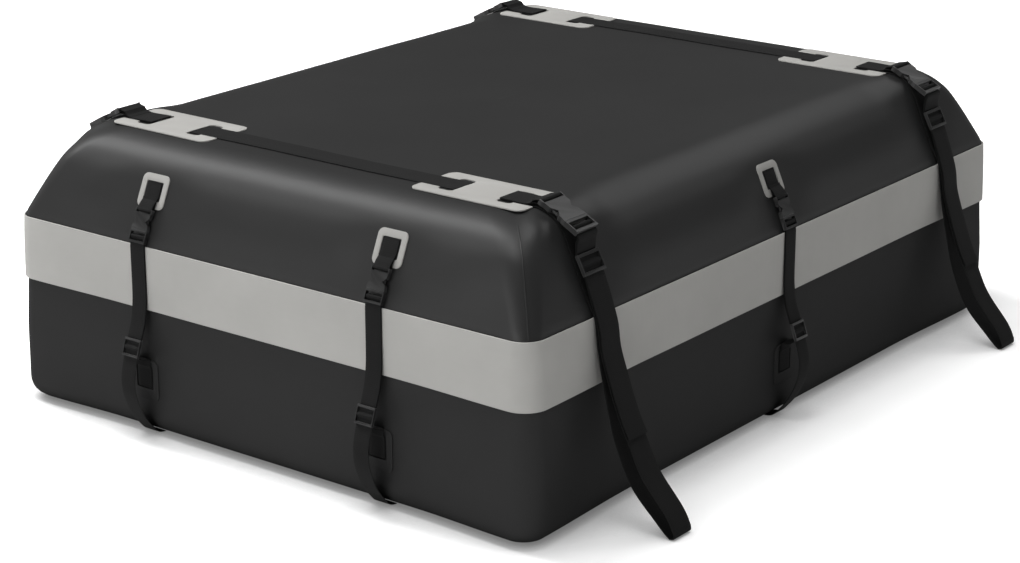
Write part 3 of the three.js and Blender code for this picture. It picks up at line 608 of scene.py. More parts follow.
def lid_stations(layout):
    """Each ring's inset, z, corner radius, angle of its outward direction above the horizon, firm reach
    and length up from the flap."""
    skirt = [
        (ZIP_INSET, layout.tub_top + ZIP_GAP, 0.0), (ZIP_INSET, layout.flap_top - 12, 0.0),
        (layout.flap_inset, layout.flap_top - 8, 0.0), (layout.flap_inset, layout.flap_top - 0.5, 0.1),
    ]
    rows = [(inset, z, layout.corner - inset, math.radians(turn), 0.0, 0.0) for inset, z, turn in skirt]
    slope_steps = 12
    for i in range(slope_steps):
        s = layout.soft_length * i / slope_steps
        out, z = layout.slope.at(s, 0)
        rows.append((-out, z, slope_corner(layout, -out), LID_LEAN, 0.0, s))
    arc_steps = 16
    for i in range(arc_steps + 1):
        angle = LID_LEAN + (math.pi / 2 - LID_LEAN) * i / arc_steps
        inset = -layout.soft_centre.x - layout.soft_shoulder * math.cos(angle)
        z = layout.soft_centre.y + layout.soft_shoulder * math.sin(angle)
        s = layout.soft_length + layout.soft_shoulder * (angle - LID_LEAN)
        rows.append((inset, z, slope_corner(layout, inset), angle, firm_reach(layout, angle), s))
    return rows


def side_swell(layout, point, s):
    """How far the lid's side bulges at a point `s` millimetres up its section, held in by the straps."""
    share = s / (layout.soft_length + SWELL_PAST)
    if not 0 < share < 1:
        return 0.0
    x, y = abs(point[0]), abs(point[1])
    if layout.width / 2 - x < layout.length / 2 - y:
        at, holds, end = y, (0.0, layout.long_row), layout.length / 2
    else:
        at, holds, end = x, (SHORT_ROW,), layout.width / 2
    near = min(abs(at - hold) for hold in holds)
    # a third of the swell is left at the corners
    to_corner = 0.35 + 0.65 * ease(end - at, 50, 120)
    return layout.swell * 16 * (share * (1 - share)) ** 2 * ease(near, 20, 90) * to_corner


def strap_hold(layout, point):
    """1 under the long straps, where the shoulder is firm, and 0 away from them."""
    from_side, from_end = layout.width / 2 - abs(point[0]), layout.length / 2 - abs(point[1])
    return (1 - ease(abs(abs(point[1]) - layout.long_row), 46, 100)) * ease(from_end - from_side, 0, 40)


def lid_rise(layout, point, firm, s):
    """How far the lid's sheet stands out from its section at a point."""
    groove = WELD_GROOVE * (1 - ease(s, 0.5, 7)) if point[2] > layout.flap_top - 1 else 0.0
    return firm * strap_hold(layout, point) + side_swell(layout, point, s) - lid_slack(layout, point) - groove


def lid_surface(layout):
    """Rings of the lid's sheet, from its sewn edge up its sides and in over its top."""
    rings = []
    stations = lid_stations(layout)
    for inset, z, radius, turn, firm, s in stations:
        ring = plan_ring(layout, inset, z, radius)
        out, up = math.cos(turn), math.sin(turn)
        moved = []
        for i, point in enumerate(ring):
            normal = outward(ring, i) * out + Vector((0, 0, up))
            moved.append(point + normal * lid_rise(layout, point, firm, s))
        rings.append(moved)
    # on over the flat top to 10 mm from its middle line
    inset, z, radius = stations[-1][:3]
    far, steps = layout.width / 2 - 10, 16
    for i in range(1, steps + 1):
        share = i / steps
        at = inset + (far - inset) * share
        ring = plan_ring(layout, at, z, radius * (1 - share) + 4 * share)
        rings.append([p - Vector((0, 0, lid_slack(layout, p))) for p in ring])
    return rings


# Operators

class CargoBagStage(Operator):
    """Adds the pale floor, the soft studio light and the camera"""

    bl_idname = "cargo_bag.stage"
    bl_label = "Stage"

    def execute(self, context):
        scene = context.scene
        scene.view_settings.view_transform = "Standard"
        add_camera(scene)
        add_floor()
        add_lights(scene)
        return {"FINISHED"}


CAMERA_PLACE = (2.11576, -2.79273, 1.26716)
CAMERA_YAW, CAMERA_PITCH, CAMERA_ROLL = (math.radians(a) for a in (37.53, 18.356, 0.04))
CAMERA_LENS = 90.14


def add_camera(scene):
    """The photo's camera."""
    data = bpy.data.cameras.new("camera")
    data.lens, data.sensor_width = CAMERA_LENS, 36.0
    data.clip_start, data.clip_end = 0.05, 100
    camera = bpy.data.objects.new("camera", data)
    forward = Vector((
        -math.sin(CAMERA_YAW) * math.cos(CAMERA_PITCH), math.cos(CAMERA_YAW) * math.cos(CAMERA_PITCH),
        -math.sin(CAMERA_PITCH),
    ))
    turn = forward.to_track_quat("-Z", "Y").to_matrix().to_4x4()
    camera.matrix_world = Matrix.Translation(CAMERA_PLACE) @ turn @ Matrix.Rotation(-CAMERA_ROLL, 4, "Z")
    scene.collection.objects.link(camera)
    scene.camera = camera


FLOOR_LIFT = 0.46  # share of its own white that the floor shows near the bag
FLOOR_REACH = 14.0  # metres


def add_floor():
    """A wide pale floor that keeps the bag's shadow, with a painted contact shadow next to the bag, and shows
    its own white far away.
    """
    material, tree = new_material("pale_floor")
    where = node(tree, "ShaderNodeTexCoord").outputs["Object"]
    # faint clouds of tone 25 mm across
    base = ramp(tree, mottle(tree, where, 25, 2.0), [(0.3, 0.84), (0.7, 0.86)])
    # painted contact shadow: ambient occlusion darkens the floor's colour and its own white next to the bag
    near = node(tree, "ShaderNodeAmbientOcclusion", {"Distance": 0.12}, samples=8).outputs["AO"]
    painted_contact_shadow = ramp(tree, near, [(0.15, 0.33), (0.9, 1.0)])
    base = node(tree, "ShaderNodeMix", {"Factor": 1.0}, {"A": base, "B": painted_contact_shadow},
                data_type="RGBA", blend_type="MULTIPLY").outputs["Result"]
    paint = node(tree, "ShaderNodeBsdfDiffuse", links={"Color": base}).outputs[0]
    rays = node(tree, "ShaderNodeLightPath").outputs
    seen = maths(tree, "MAXIMUM", rays["Is Camera Ray"], rays["Is Glossy Ray"])
    seen = maths(tree, "MAXIMUM", seen, rays["Is Transmission Ray"])
    # away from the lamps the floor shows its own white
    far = node(tree, "ShaderNodeVectorMath", links={0: where}, operation="LENGTH").outputs["Value"]
    lift = maths(tree, "MULTIPLY", seen, mapped(tree, far, FLOOR_LIFT, 1.0, 1.2, 5.0))
    glow = node(tree, "ShaderNodeEmission", links={"Color": painted_contact_shadow, "Strength": lift}).outputs[0]
    total = node(tree, "ShaderNodeAddShader", links={0: paint, 1: glow}).outputs[0]
    node(tree, "ShaderNodeOutputMaterial", links={"Surface": total})
    mesh = bpy.data.meshes.new("floor")
    mesh.from_pydata([(x * FLOOR_REACH, y * FLOOR_REACH, 0) for x, y, _ in QUARTERS], [], [(0, 1, 2, 3)])
    mesh.materials.append(material)
    floor = bpy.data.objects.new("floor", mesh)
    bpy.context.scene.collection.objects.link(floor)


LAMPS = [
    # name, place, aim, side lengths, power in watts
    ("strip_left", (-2.2, -0.6, 3.1), (0, -0.6, 0.3), (0.9, 3.7), 158),
    ("softbox_top", (0.3, -0.7, 3.4), (0.3, -0.6, 0.3), (0.9, 0.9), 30),
    ("strip_back", (0.4, 3.4, 3.1), (0, 0, 0.3), (3.6, 0.75), 54),
    ("front_fill", (0.0, -5.15, 2.1), (0, 0, 0.2), (3.2, 2.0), 83),
]
SKY_WHITE, SKY_DIM = 0.08, 0.16  # sines of the angles
SKY_LEVEL = 0.14  # of the dim part


def add_lights(scene):
    """Soft boxes, and a studio whose walls are white up to 5 degrees and dim above 9 degrees."""
    for name, place, aim, size, power in LAMPS:
        data = bpy.data.lights.new(name, "AREA")
        data.shape, data.energy = "RECTANGLE", power
        data.size, data.size_y = size
        lamp = bpy.data.objects.new(name, data)
        lamp.location = place
        lamp.rotation_euler = (Vector(aim) - Vector(place)).to_track_quat("-Z", "Y").to_euler()
        scene.collection.objects.link(lamp)
    world = scene.world or bpy.data.worlds.new("studio")
    scene.world = world
    world.use_nodes = True
    tree = world.node_tree
    tree.nodes.clear()
    where = node(tree, "ShaderNodeTexCoord").outputs["Generated"]
    height = node(tree, "ShaderNodeSeparateXYZ", links={0: where}).outputs["Z"]
    walls = ramp(tree, height, [(SKY_WHITE, 1.0), (SKY_DIM, SKY_LEVEL)])
    light = node(tree, "ShaderNodeBackground", {"Strength": 1.0}, {"Color": walls}).outputs[0]
    node(tree, "ShaderNodeOutputWorld", links={"Surface": light})


class CargoBagLid(Operator):
    """Makes the lid: one welded sheet with sloped sides and a slack top"""

    bl_idname = "cargo_bag.lid"
    bl_label = "Lid"

    def execute(self, context):
        layout = Layout()
        rings = lid_surface(layout)
        count = len(rings[0])
        skirt = [
            [p.lerp(Vector((0, 0, p.z)), SHEET / math.hypot(p.x, p.y)) for p in ring] for ring in rings[:4]
        ]
        rings = skirt[::-1] + rings
        points = [p for ring in rings for p in ring]
        faces = tube_faces(len(rings), count, closed_ends=False)
        faces.append(tuple(range((len(rings) - 1) * count, len(rings) * count)))
        add_piece("lid_sheet", points, faces, "lid_tarpaulin", replaces=["lid"])
        add_corner_seams(layout)
        return {"FINISHED"}


SEAM_WIDTH, SEAM_RISE = 2.6, 0.8
SEAM_ANGLE = math.radians(-43.2)  # of the seams round the near right corner
SEAM_PROFILE = [(-1.0, -0.6), (-0.75, 0.7), (-0.3, 1.0), (0.4, 1.0), (0.8, 0.5), (1.0, -0.6)]


def add_corner_seams(layout):
    """Lap welds up the lid's four corners, from the flap to the shoulder."""
    stations = [row for row in lid_stations(layout) if layout.flap_top - 1 < row[1] < layout.height - 8]
    around = Vector((math.cos(SEAM_ANGLE), math.sin(SEAM_ANGLE), 0))
    side = Vector((-around.y, around.x, 0))
    points = []
    for k, (inset, z, radius, turn, firm, s) in enumerate(stations):
        centre = Vector((layout.width / 2 - inset - radius, -(layout.length / 2 - inset - radius), z))
        normal = around * math.cos(turn) + Vector((0, 0, math.sin(turn)))
        fade = 0.3 + 0.7 * min(1.0, (len(stations) - 1 - k) / 4)
        base = centre + around * radius
        base += normal * lid_rise(layout, base, firm, s)
        points += [base + side * across * SEAM_WIDTH / 2 + normal * (rise * SEAM_RISE * fade)
                   for across, rise in SEAM_PROFILE]
    for name, x, y in CORNERS:
        mirrored = [(p.x * x, -p.y * y, p.z) for p in points]
        add_piece(f"lid_seam_{name}", mirrored, tube_faces(len(stations), len(SEAM_PROFILE)),
                  "lid_tarpaulin")


class CargoBagTub(Operator):
    """Makes the tub and its six dark strap patches"""

    bl_idname = "cargo_bag.tub"
    bl_label = "Tub"

    def execute(self, context):
        layout = Layout()
        edge = layout.tub_edge
        stations = [(inset, 0.0) for inset in BOTTOM_INSETS]
        steps = 8
        for i in range(steps + 1):
            angle = math.pi / 2 * i / steps
            stations.append((TUB_INSET + edge - edge * math.sin(angle), edge - edge * math.cos(angle)))
        upright = layout.patch_top + 2
        stations += [(TUB_INSET, edge + (upright - edge) * i / 3) for i in range(1, 4)]
        stations += [(TUB_INSET + (WAIST_INSET - TUB_INSET) * i / 3,
                      upright + (layout.flap_bottom - upright) * i / 3) for i in range(1, 4)]
        stations += [(ZIP_INSET, layout.tub_top - ZIP_GAP), (ZIP_INSET, layout.tub_top)]
        rings = []
        for inset, z in stations:
            ring = plan_ring(layout, inset, z, layout.corner - min(inset, ZIP_INSET))
            # the flare ends under the zip, whose sliders run just behind the flap
            flare = 1 - ease(z, layout.flap_bottom, layout.tub_top - ZIP_GAP)
            rings.append(pushed(ring, lambda p: corner_flare(layout, p) * flare - tub_slack(layout, p)))
        inside = [(ZIP_INSET + SHEET, layout.tub_top), (WAIST_INSET + SHEET, layout.flap_bottom),
                  (TUB_INSET + SHEET, edge), (TUB_INSET + edge, SHEET), (BOTTOM_INSETS[0], SHEET)]
        rings += [plan_ring(layout, inset, z, layout.corner - min(inset, ZIP_INSET + SHEET))
                  for inset, z in inside]
        count = len(rings[0])
        points = [p for ring in rings for p in ring]
        add_piece("tub_sheet", points, tube_faces(len(rings), count), "tub_tarpaulin", replaces=["tub"])
        for name, matrix in layout.short_sets():
            add_tub_patch(layout, name, matrix)
        return {"FINISHED"}


def tub_slack(layout, point):
    """How far the tub's wall falls in at a point, in millimetres."""
    z = point[2]
    hold = ease(z, 4, 60) * (1 - ease(z, layout.flap_bottom - 30, layout.flap_bottom))
    return layout.slack * TUB_SLACK * hold * waves(point, (210, 5.7), (80, 2.2))


def rounded_loop(width, height, radius, steps, shift=0.0):
    """Closed loop of a rounded rectangle, corner by corner, with the same count whatever its size."""
    loop = []
    for x, y, start in QUARTERS:
        for i in range(steps + 1):
            angle = math.radians(start + 90 * i / steps)
            loop.append(Vector((
                x * (width / 2 - radius) + radius * math.cos(angle),
                y * (height / 2 - radius) + radius * math.sin(angle) + shift,
            )))
    return loop


def framed_patch(size, window, shift, sheet, base, place):
    """Patch with a window: outer and inner walls with a rounded top edge. `place` maps (x, s, n)."""
    radius, window_radius, steps = 8, 2, 7
    face = base + sheet
    rows = [(0.0, base), (0.0, face - SHEET_EDGE), (SHEET_EDGE * 0.3, face - SHEET_EDGE * 0.3),
            (SHEET_EDGE, face)]
    loops = []
    for inset, n in rows:
        loop = rounded_loop(size[0] - 2 * inset, size[1] - 2 * inset, radius - inset, steps)
        loops.append([place(p.x, p.y, n) for p in loop])
    for inset, n in reversed(rows):
        loop = rounded_loop(window[0] + 2 * inset, window[1] + 2 * inset, window_radius + inset, steps, shift)
        loops.append([place(p.x, p.y, n) for p in loop])
    count = len(loops[0])
    points = [p for loop in loops for p in loop]
    rings = len(loops)
    faces = [
        (a, b, (b + count) % len(points), (a + count) % len(points))
        for ring in range(rings) for i in range(count)
        for a, b in [(ring * count + i, ring * count + (i + 1) % count)]
    ]
    return points, faces


TUB_PATCH_SHEET, TUB_PATCH_SUNK = 2.6, 0.6


def add_tub_patch(layout, name, matrix):
    """Dark patch on the tub that holds the end of a short strap."""
    middle = StrapFrame((-TUB_INSET, layout.patch_rise + TUB_PATCH[1] / 2), 0.0)
    out = matrix.to_3x3() @ Vector((0, 1, 0))

    def place(x, s, n):
        return matrix @ middle.place(x, s, n) - out * tub_slack(layout, matrix @ middle.place(0, s, 0))

    shift = (TUB_PATCH[1] - TUB_WINDOW[1]) / 2 - TUB_BORDER
    points, faces = framed_patch(TUB_PATCH, TUB_WINDOW, shift, TUB_PATCH_SHEET, -TUB_PATCH_SUNK, place)
    add_piece(f"tub_patch_{name}", points, faces, "tub_tarpaulin")


class CargoBagFlap(Operator):
    """Makes the light weather flap that hangs over the zip"""

    bl_idname = "cargo_bag.flap"
    bl_label = "Weather flap"

    def execute(self, context):
        layout = Layout()
        sheet, edge = layout.flap_sheet, SHEET_EDGE
        bottom, top = layout.flap_bottom, layout.flap_top
        outer = [bottom + edge] + [bottom + (top - bottom) * i / 8 for i in range(1, 8)] + [top - edge]
        rows = [(sheet - edge, bottom), (edge, bottom)] + [(0.0, z) for z in outer]
        rows += [(edge, top), (sheet - edge, top)] + [(sheet, z) for z in reversed(outer)]
        rings = []
        for inset, z in rows:
            ring = plan_ring(layout, inset, z, layout.corner - inset)
            rings.append(pushed(ring, lambda p: corner_flare(layout, p) - flap_slack(layout, p)))
        rings.append(rings[0])
        count = len(rings[0])
        points = [p for ring in rings[:-1] for p in ring]
        total = len(points)
        faces = [tuple(v % total for v in face) for face in tube_faces(len(rings), count, closed_ends=False)]
        add_piece("flap_sheet", points, faces, "flap_tarpaulin", replaces=["weather_flap"])
        return {"FINISHED"}


def flap_slack(layout, point):
    """How far the flap's free lower edge falls in at a point, in millimetres."""
    x, y, z = point
    free = 1 - ease(z, layout.flap_bottom, layout.flap_top - 20)
    return FLAP_SLACK * free * fall((x, y, 0), 150, 12.7)


class CargoBagPatches(Operator):
    """Makes the light patches on the lid's sides and top"""

    bl_idname = "cargo_bag.patches"
    bl_label = "Light patches"

    def execute(self, context):
        layout = Layout()
        for name, matrix in layout.short_sets():
            add_lid_patch(layout, name, matrix)
        for name, x, y in CORNERS:
            add_top_patch(layout, name, x, y * layout.long_row)
        return {"FINISHED"}


def lid_section(layout, s):
    """Point and outward direction of the lid's section, `s` millimetres up its slope and shoulder."""
    if s <= layout.soft_length:
        return layout.slope.at(s, 0), layout.slope.out
    angle = LID_LEAN + (s - layout.soft_length) / layout.soft_shoulder
    out = V2(math.cos(angle), math.sin(angle))
    return layout.soft_centre + out * layout.soft_shoulder, out


def add_lid_patch(layout, name, matrix):
    """Light patch on the lid's side, where a short strap's socket is sewn on."""
    middle = layout.lid_patch_rise + LID_PATCH[1] / 2

    def place(x, s, n):
        point, out = lid_section(layout, middle + s)
        base = matrix @ Vector((-x, *point))
        return base + matrix.to_3x3() @ Vector((0, *out)) * (n - lid_slack(layout, base))

    shift = (LID_WINDOW[1] - LID_PATCH[1]) / 2 + LID_BORDER
    points, faces = framed_patch(LID_PATCH, LID_WINDOW, shift, layout.patch_sheet, PATCH_LIFT, place)
    add_piece(f"lid_patch_{name}_sheet", points, faces, "patch_tarpaulin", replaces=[f"lid_patch_{name}"])


def top_patch_outline(layout):
    """Outline of the H-shaped patch: two slots with a neck as wide as the web and a wider head."""
    half_x, half_y = TOP_PATCH[0] / 2, TOP_PATCH[1] / 2
    neck, head = layout.long_web / 2 + GAP, TOP_HEAD[1] / 2
    head_in, head_out = half_x - TOP_NECK - TOP_HEAD[0], half_x - TOP_NECK
    # from the slot's far end round its head and its lip to the patch's own corner
    quarter = [V2(head_in, 0.0), *arc(V2(head_in + 6, head - 6), 6, 180, 90, 6)]
    quarter += arc(V2(head_out - 6, head - 6), 6, 90, 0, 6)
    quarter += [V2(head_out, neck), *arc(V2(half_x - 2, neck + 2), 2, -90, 0, 6)]
    quarter += arc(V2(half_x - 12, half_y - 12), 12, 0, 90, 6)
    upper = quarter + [V2(-p.x, p.y) for p in reversed(quarter)]
    return upper + [V2(p.x, -p.y) for p in reversed(upper)][1:-1]


def add_top_patch(layout, name, side, row):
    """H-shaped patch on the lid's top: its outline, extruded, with a rounded upper rim."""
    centre_x = side * (layout.width / 2 - TOP_PATCH_IN - TOP_PATCH[0] / 2)
    face_z = layout.patch_sheet + PATCH_LIFT
    shape = bmesh.new()
    face = shape.faces.new([shape.verts.new((*p, PATCH_LIFT)) for p in top_patch_outline(layout)])
    grown = bmesh.ops.extrude_face_region(shape, geom=[face])
    for vertex in grown["geom"]:
        if isinstance(vertex, bmesh.types.BMVert):
            vertex.co.z = face_z
    rim = [e for e in shape.edges if all(abs(v.co.z - face_z) < 1e-6 for v in e.verts)]
    bmesh.ops.bevel(shape, geom=rim, offset=SHEET_EDGE, segments=2, affect="EDGES", profile=0.6)
    bmesh.ops.triangulate(shape, faces=[f for f in shape.faces if len(f.verts) > 4])
    for vertex in shape.verts:
        place = Vector((vertex.co.x + centre_x, vertex.co.y + row, layout.height))
        vertex.co = (place + Vector((0, 0, vertex.co.z - lid_slack(layout, place)))) * MM
    node_name = f"top_patch_{name}"
    mesh = bpy.data.meshes.new(f"{node_name}_sheet")
    shape.to_mesh(mesh)
    shape.free()
    finish_piece(f"{node_name}_sheet", mesh, "patch_tarpaulin", "bag", [node_name])


# Webbing

WEB_LEAVE = math.radians(40)  # slope of the web on its way off a rod
BEND_ROOM = 2.2  # height over which a short web turns from the band into its plug
TAIL_BULGE = 30.0  # how far the short straps' tails hang out
LOOP_REACH = 110.0  # of the long straps' loops out over the ground
LOOP_DRIFT = 10.0  # of the loops' feet towards the bag's back
NECK_ROOM = 9.0  # from the plug down to the start of the web's stretch round it


def smooth(points, steps):
    """Points on a Catmull-Rom curve through the given ones."""
    made = []
    last = len(points) - 1
    for k in range(steps + 1):
        t = last * k / steps
        i = min(int(t), last - 1)
        w = t - i
        p0, p1, p2, p3 = (points[max(0, min(last, i + j))] for j in (-1, 0, 1, 2))
        v0, v1 = (p2 - p0) * 0.5, (p3 - p1) * 0.5
        made.append(
            (2 * p1 - 2 * p2 + v0 + v1) * w ** 3 + (-3 * p1 + 3 * p2 - 2 * v0 - v1) * w ** 2 + v0 * w + p1)
    return made


def arc(centre, radius, start, end, steps):
    """Points of an arc between two angles in degrees."""
    return [
        centre + V2(math.cos(a), math.sin(a)) * radius
        for a in (math.radians(start + (end - start) * i / steps) for i in range(steps + 1))
    ]


def levels(strap, rod):
    """Levels of a web's two layers under and over a bar, of the bar, and the radius round it."""
    inner = GAP + strap["sheet"] / 2
    outer = inner + strap["sheet"] + GAP
    return inner, outer, inner + strap["sheet"] / 2 + GAP + rod, rod + GAP + strap["sheet"] / 2


def rod_rise(strap):
    """Height of a plug's rod above the plug's foot."""
    return strap["end_bar"] + strap["slot"] + strap["rod"]


def bar_place(strap):
    """Place of a socket's bar in its buckle's frame: up the strap and out."""
    mouth = rod_rise(strap) + strap["rod"] + strap["slot"] + strap["shoulder"] + GAP
    return V2(mouth + strap["socket_length"] + strap["socket_slot"] + strap["socket_bar"],
              strap["thickness"] / 2)


def nearest(path, point):
    """Index of the path's point that lies nearest to the one given."""
    return min(range(len(path)), key=lambda i: (path[i] - point).length)


def slider_top(slider, strap):
    """Middle of the web where it lies on the slider's bar."""
    return slider.at(0.01, sum(levels(strap, strap["slider_rod"])[2:]))


def plug_turn(at, strap):
    """The web's turn round a plug's rod: up under it, round it and down to the outer layer."""
    _, outer, rod, wrap = levels(strap, strap["rod"])
    turn = arc(V2(rod_rise(strap), rod), wrap, -90, 130, 14)
    turn.append(V2(turn[-1].x - (turn[-1].y - outer) / math.tan(WEB_LEAVE), outer))
    return [at.at(p.x, p.y) for p in turn]


def slider_crossing(at, strap):
    """The outer layer's way over the middle bar of a slider, from above."""
    _, outer, rod, wrap = levels(strap, strap["slider_rod"])
    crossing = arc(V2(0, rod), wrap, 50, 130, 7)
    run = (crossing[0].y - outer) / math.tan(WEB_LEAVE)
    crossing = [V2(crossing[0].x + run, outer)] + crossing
    crossing.append(V2(-crossing[0].x, outer))
    return [at.at(p.x, p.y) for p in crossing]


def socket_web(at, strap, bar, start, lift, level):
    """Two layers of a short web round a socket's bar: the upper one and the one under it."""
    radius = strap["socket_bar"] * math.sqrt(2) + GAP / 2 + strap["sheet"] / 2
    turn = arc(bar, radius, 55, 270, 14)
    lower, middle = bar.y - radius, (lift + bar.x) / 2
    halfway = V2(middle + 1, (lower + turn[0].y) / 2 + strap["sheet"] / 2)
    over = smooth(start + [V2(lift, level), halfway], 14)
    under = [V2(bar.x - GAP, lower), V2(middle, lower), V2(lift + 3, level)]
    return [at.at(p.x, p.y) for p in over + turn + under]


def short_strap_path(layout):
    """The web from the tub patch through its slider and under the flap to the plug, and back to its tail.
    Also the stations of its pieces, and where each of them bends between the bag and what moves it."""
    strap, buckle, slider = layout.short, layout.short_buckle, layout.short_slider
    b_in, b_out, _, _ = levels(strap, strap["rod"])
    s_in, s_out, _, _ = levels(strap, strap["slider_rod"])
    half, sheet = strap["slider_height"] / 2, strap["sheet"]
    wall = -TUB_INSET + GAP + sheet / 2
    over_bar = wall + 2
    patch_top, low = layout.patch_top, layout.flap_bottom
    window_top = patch_top - TUB_BORDER
    inner = GAP + sheet / 2
    outer = inner + sheet + 4 * GAP / 3
    plug_foot = buckle.at(-2, 0).y - BEND_ROOM
    tub_foot = -(TUB_INSET + layout.tub_edge * 0.62)

    def under(level, lift, drop):
        return V2(level + lift, low + drop)

    sewn = smooth([V2(wall, window_top - TUB_WINDOW[1] + END_ROOM), V2(wall, window_top - 4),
                   V2(over_bar, window_top), V2(over_bar, patch_top - 2)], 12)
    to_slider = smooth([V2(over_bar, patch_top - 2), V2(1.66, patch_top + 2.5), V2(11.95, patch_top + 4),
                        slider.at(-half, s_in)], 16)[1:]
    up_band = smooth([slider.at(half, s_in), under(inner, 4, -14), under(inner, 0.6, 10),
                      under(inner, 0, 30)], 14)
    down_band = smooth([under(outer, 0, 30), under(outer, 0.7, 10), under(outer, 4.2, -14),
                        slider.at(half, s_out)], 14)
    reach = slider.origin.y
    tail = smooth(
        [slider.at(-half, s_out), V2(TAIL_BULGE - 2, reach - strap["slider_height"] * 1.2)]
        + [V2(TAIL_BULGE * a, reach * b) for a, b in ((1, 0.646), (0.9, 0.48), (0.5, 0.26), (-0.067, 0.087))]
        + [V2(tub_foot / 2, 3.2), V2(tub_foot, sheet / 2 + 0.1)], 36)
    path = clean_path(
        sewn + to_slider + [slider.at(0, s_in)] + up_band + [V2(inner, plug_foot), buckle.at(-2, b_in)]
        + plug_turn(buckle, strap) + [buckle.at(-2, b_out), V2(outer, plug_foot)]
        + down_band + slider_crossing(slider, strap) + tail)
    marks = slider.at(0, s_in), under(inner, 0, 30), under(outer, 0, 30), slider_top(slider, strap)
    in_slider, up, down, bar = (nearest(path, mark) for mark in marks)
    spans = dict(
        patch_end=[(0, in_slider)], under_flap=[(in_slider, up), (down, bar)], woven=[(up, down)],
        tail=[(bar, len(path) - 1)])
    bends = dict(
        patch_end=("slider", V2(2, patch_top + 3), V2(12, patch_top + 3)),
        under_flap=("slider", V2(2, low + 2), slider.at(half, 0)),
        woven=("plug", V2(0, low + 45), V2(0, layout.flap_top - 2)),
        tail=("slider", slider.at(-half - 48, 0), slider.at(-half, 0)))
    return path, spans, bends


def long_strap_path(layout):
    """The web from its patch down to the ground, up through its slider, round the plug and back to its
    tail, with the stations and bends of its pieces."""
    strap, buckle, slider = layout.long, layout.long_buckle, layout.long_slider
    b_in, b_out, _, _ = levels(strap, strap["rod"])
    s_in, s_out, _, _ = levels(strap, strap["slider_rod"])
    half = strap["slider_height"] / 2
    below = -half - strap["end_bar"]
    lift = GAP + strap["sheet"] / 2
    top = layout.flap_top
    over_edge = arc(layout.shoulder_centre, layout.shoulder + lift, 90, math.degrees(LID_LEAN), 14)

    def hang(*shares):
        return [V2(LOOP_REACH * out, top * up) for out, up in shares]

    end = LOOP_REACH + 4.6
    inner = smooth(
        [layout.slope.at(layout.slope_length * 0.237, lift), V2(-layout.flap_inset - lift, top + 9)]
        + hang((0.02, 0.985), (0.059, 0.856), (0.118, 0.712), (0.186, 0.583), (0.285, 0.417),
               (0.49, 0.22), (0.8, 0.078), (0.927, 0.025))
        + [V2(LOOP_REACH - 1, strap["sheet"])], 60)
    turn = smooth([V2(LOOP_REACH - 1, strap["sheet"]), V2(end, 3.4), V2(end, 9.5)], 12)[1:]
    outer = smooth(
        [V2(end, 9.5)]
        + hang((0.945, 0.117), (0.643, 0.273), (0.481, 0.413), (0.375, 0.508), (0.282, 0.602),
               (0.182, 0.727), (0.102, 0.841), (0.049, 0.966))
        + [slider.at(below, s_in)], 54)[1:]
    tops = [slider.at(half, s_in), slider.at(half, s_out)]
    elbow = buckle.at(-strap["rod"], b_in - GAP * 0.7)
    up_to_plug = smooth([tops[0], V2((elbow.x + slider.at(half, 0).x) / 2 - 0.4, elbow.y - 9),
                         V2(elbow.x + 0.5, elbow.y - 3), elbow, buckle.at(2, b_in)], 16)
    knee = buckle.at(-2.2, b_out)
    down = smooth([buckle.at(1, b_out), knee, V2(knee.x + 0.6, knee.y - 3.4),
                   V2((knee.x + tops[1].x) / 2 - 0.2, knee.y - 11), tops[1]], 16)
    tail = smooth(
        [slider.at(below, s_out)]
        + hang((0.076, 0.97), (0.126, 0.841), (0.212, 0.727), (0.315, 0.602), (0.405, 0.508),
               (0.482, 0.447)), 30)
    flat = [layout.top.at(TOP_WEB_END - 8 * i, lift) for i in range(5)]
    path = clean_path(
        flat + [layout.top.at(8 - layout.shoulder_centre.x, lift)] + over_edge
        + [layout.slope.at(layout.slope_length * 0.475, lift)] + inner + turn + outer
        + [slider.at(-half, s_in), slider.at(0, s_in)] + up_to_plug + plug_turn(buckle, strap) + down
        + slider_crossing(slider, strap) + tail)
    neck = elbow.y - NECK_ROOM
    marks = (
        turn[-1], slider.at(0, s_in), V2(min(p.x for p in up_to_plug), neck),
        V2(max(p.x for p in down), neck), slider_top(slider, strap))
    low, in_slider, up, off, bar = (nearest(path, mark) for mark in marks)
    spans = dict(
        woven=[(0, low)], hang=[(low, in_slider), (bar, len(path) - 1)],
        neck=[(in_slider, up), (off, bar)], plug_end=[(up, off)])
    top = slider.at(half, 0)
    neck_end = V2(top.x, max(path[up].y, path[off].y))
    bends = dict(
        hang=("slider", V2(LOOP_REACH * 0.48, layout.flap_top * 0.45), slider.at(-half, 0)),
        neck=("slider", neck_end, top),
        plug_end=("plug", neck_end, buckle.at(0, 2)))
    return path, spans, bends


# half of a web's section, across and out, as shares of half its width and thickness
WEB_HALF = [
    (-1.0, 0.0), (-0.985, 0.7), (-0.95, 0.96), (-0.5, 1.0), (0.0, 1.0), (0.5, 1.0), (0.95, 0.96),
    (0.985, 0.7),
]
WEB_SECTION = WEB_HALF + [(-across, -out) for across, out in WEB_HALF]


def clean_path(path, longest=7.0, shortest=0.12):
    """Drops points that coincide and divides long straights."""
    made = [path[0]]
    for point in path[1:]:
        step = point - made[-1]
        if step.length < shortest:
            continue
        parts = max(1, math.ceil(step.length / longest))
        start = made[-1]
        made += [start.lerp(point, i / parts) for i in range(1, parts + 1)]
    return made


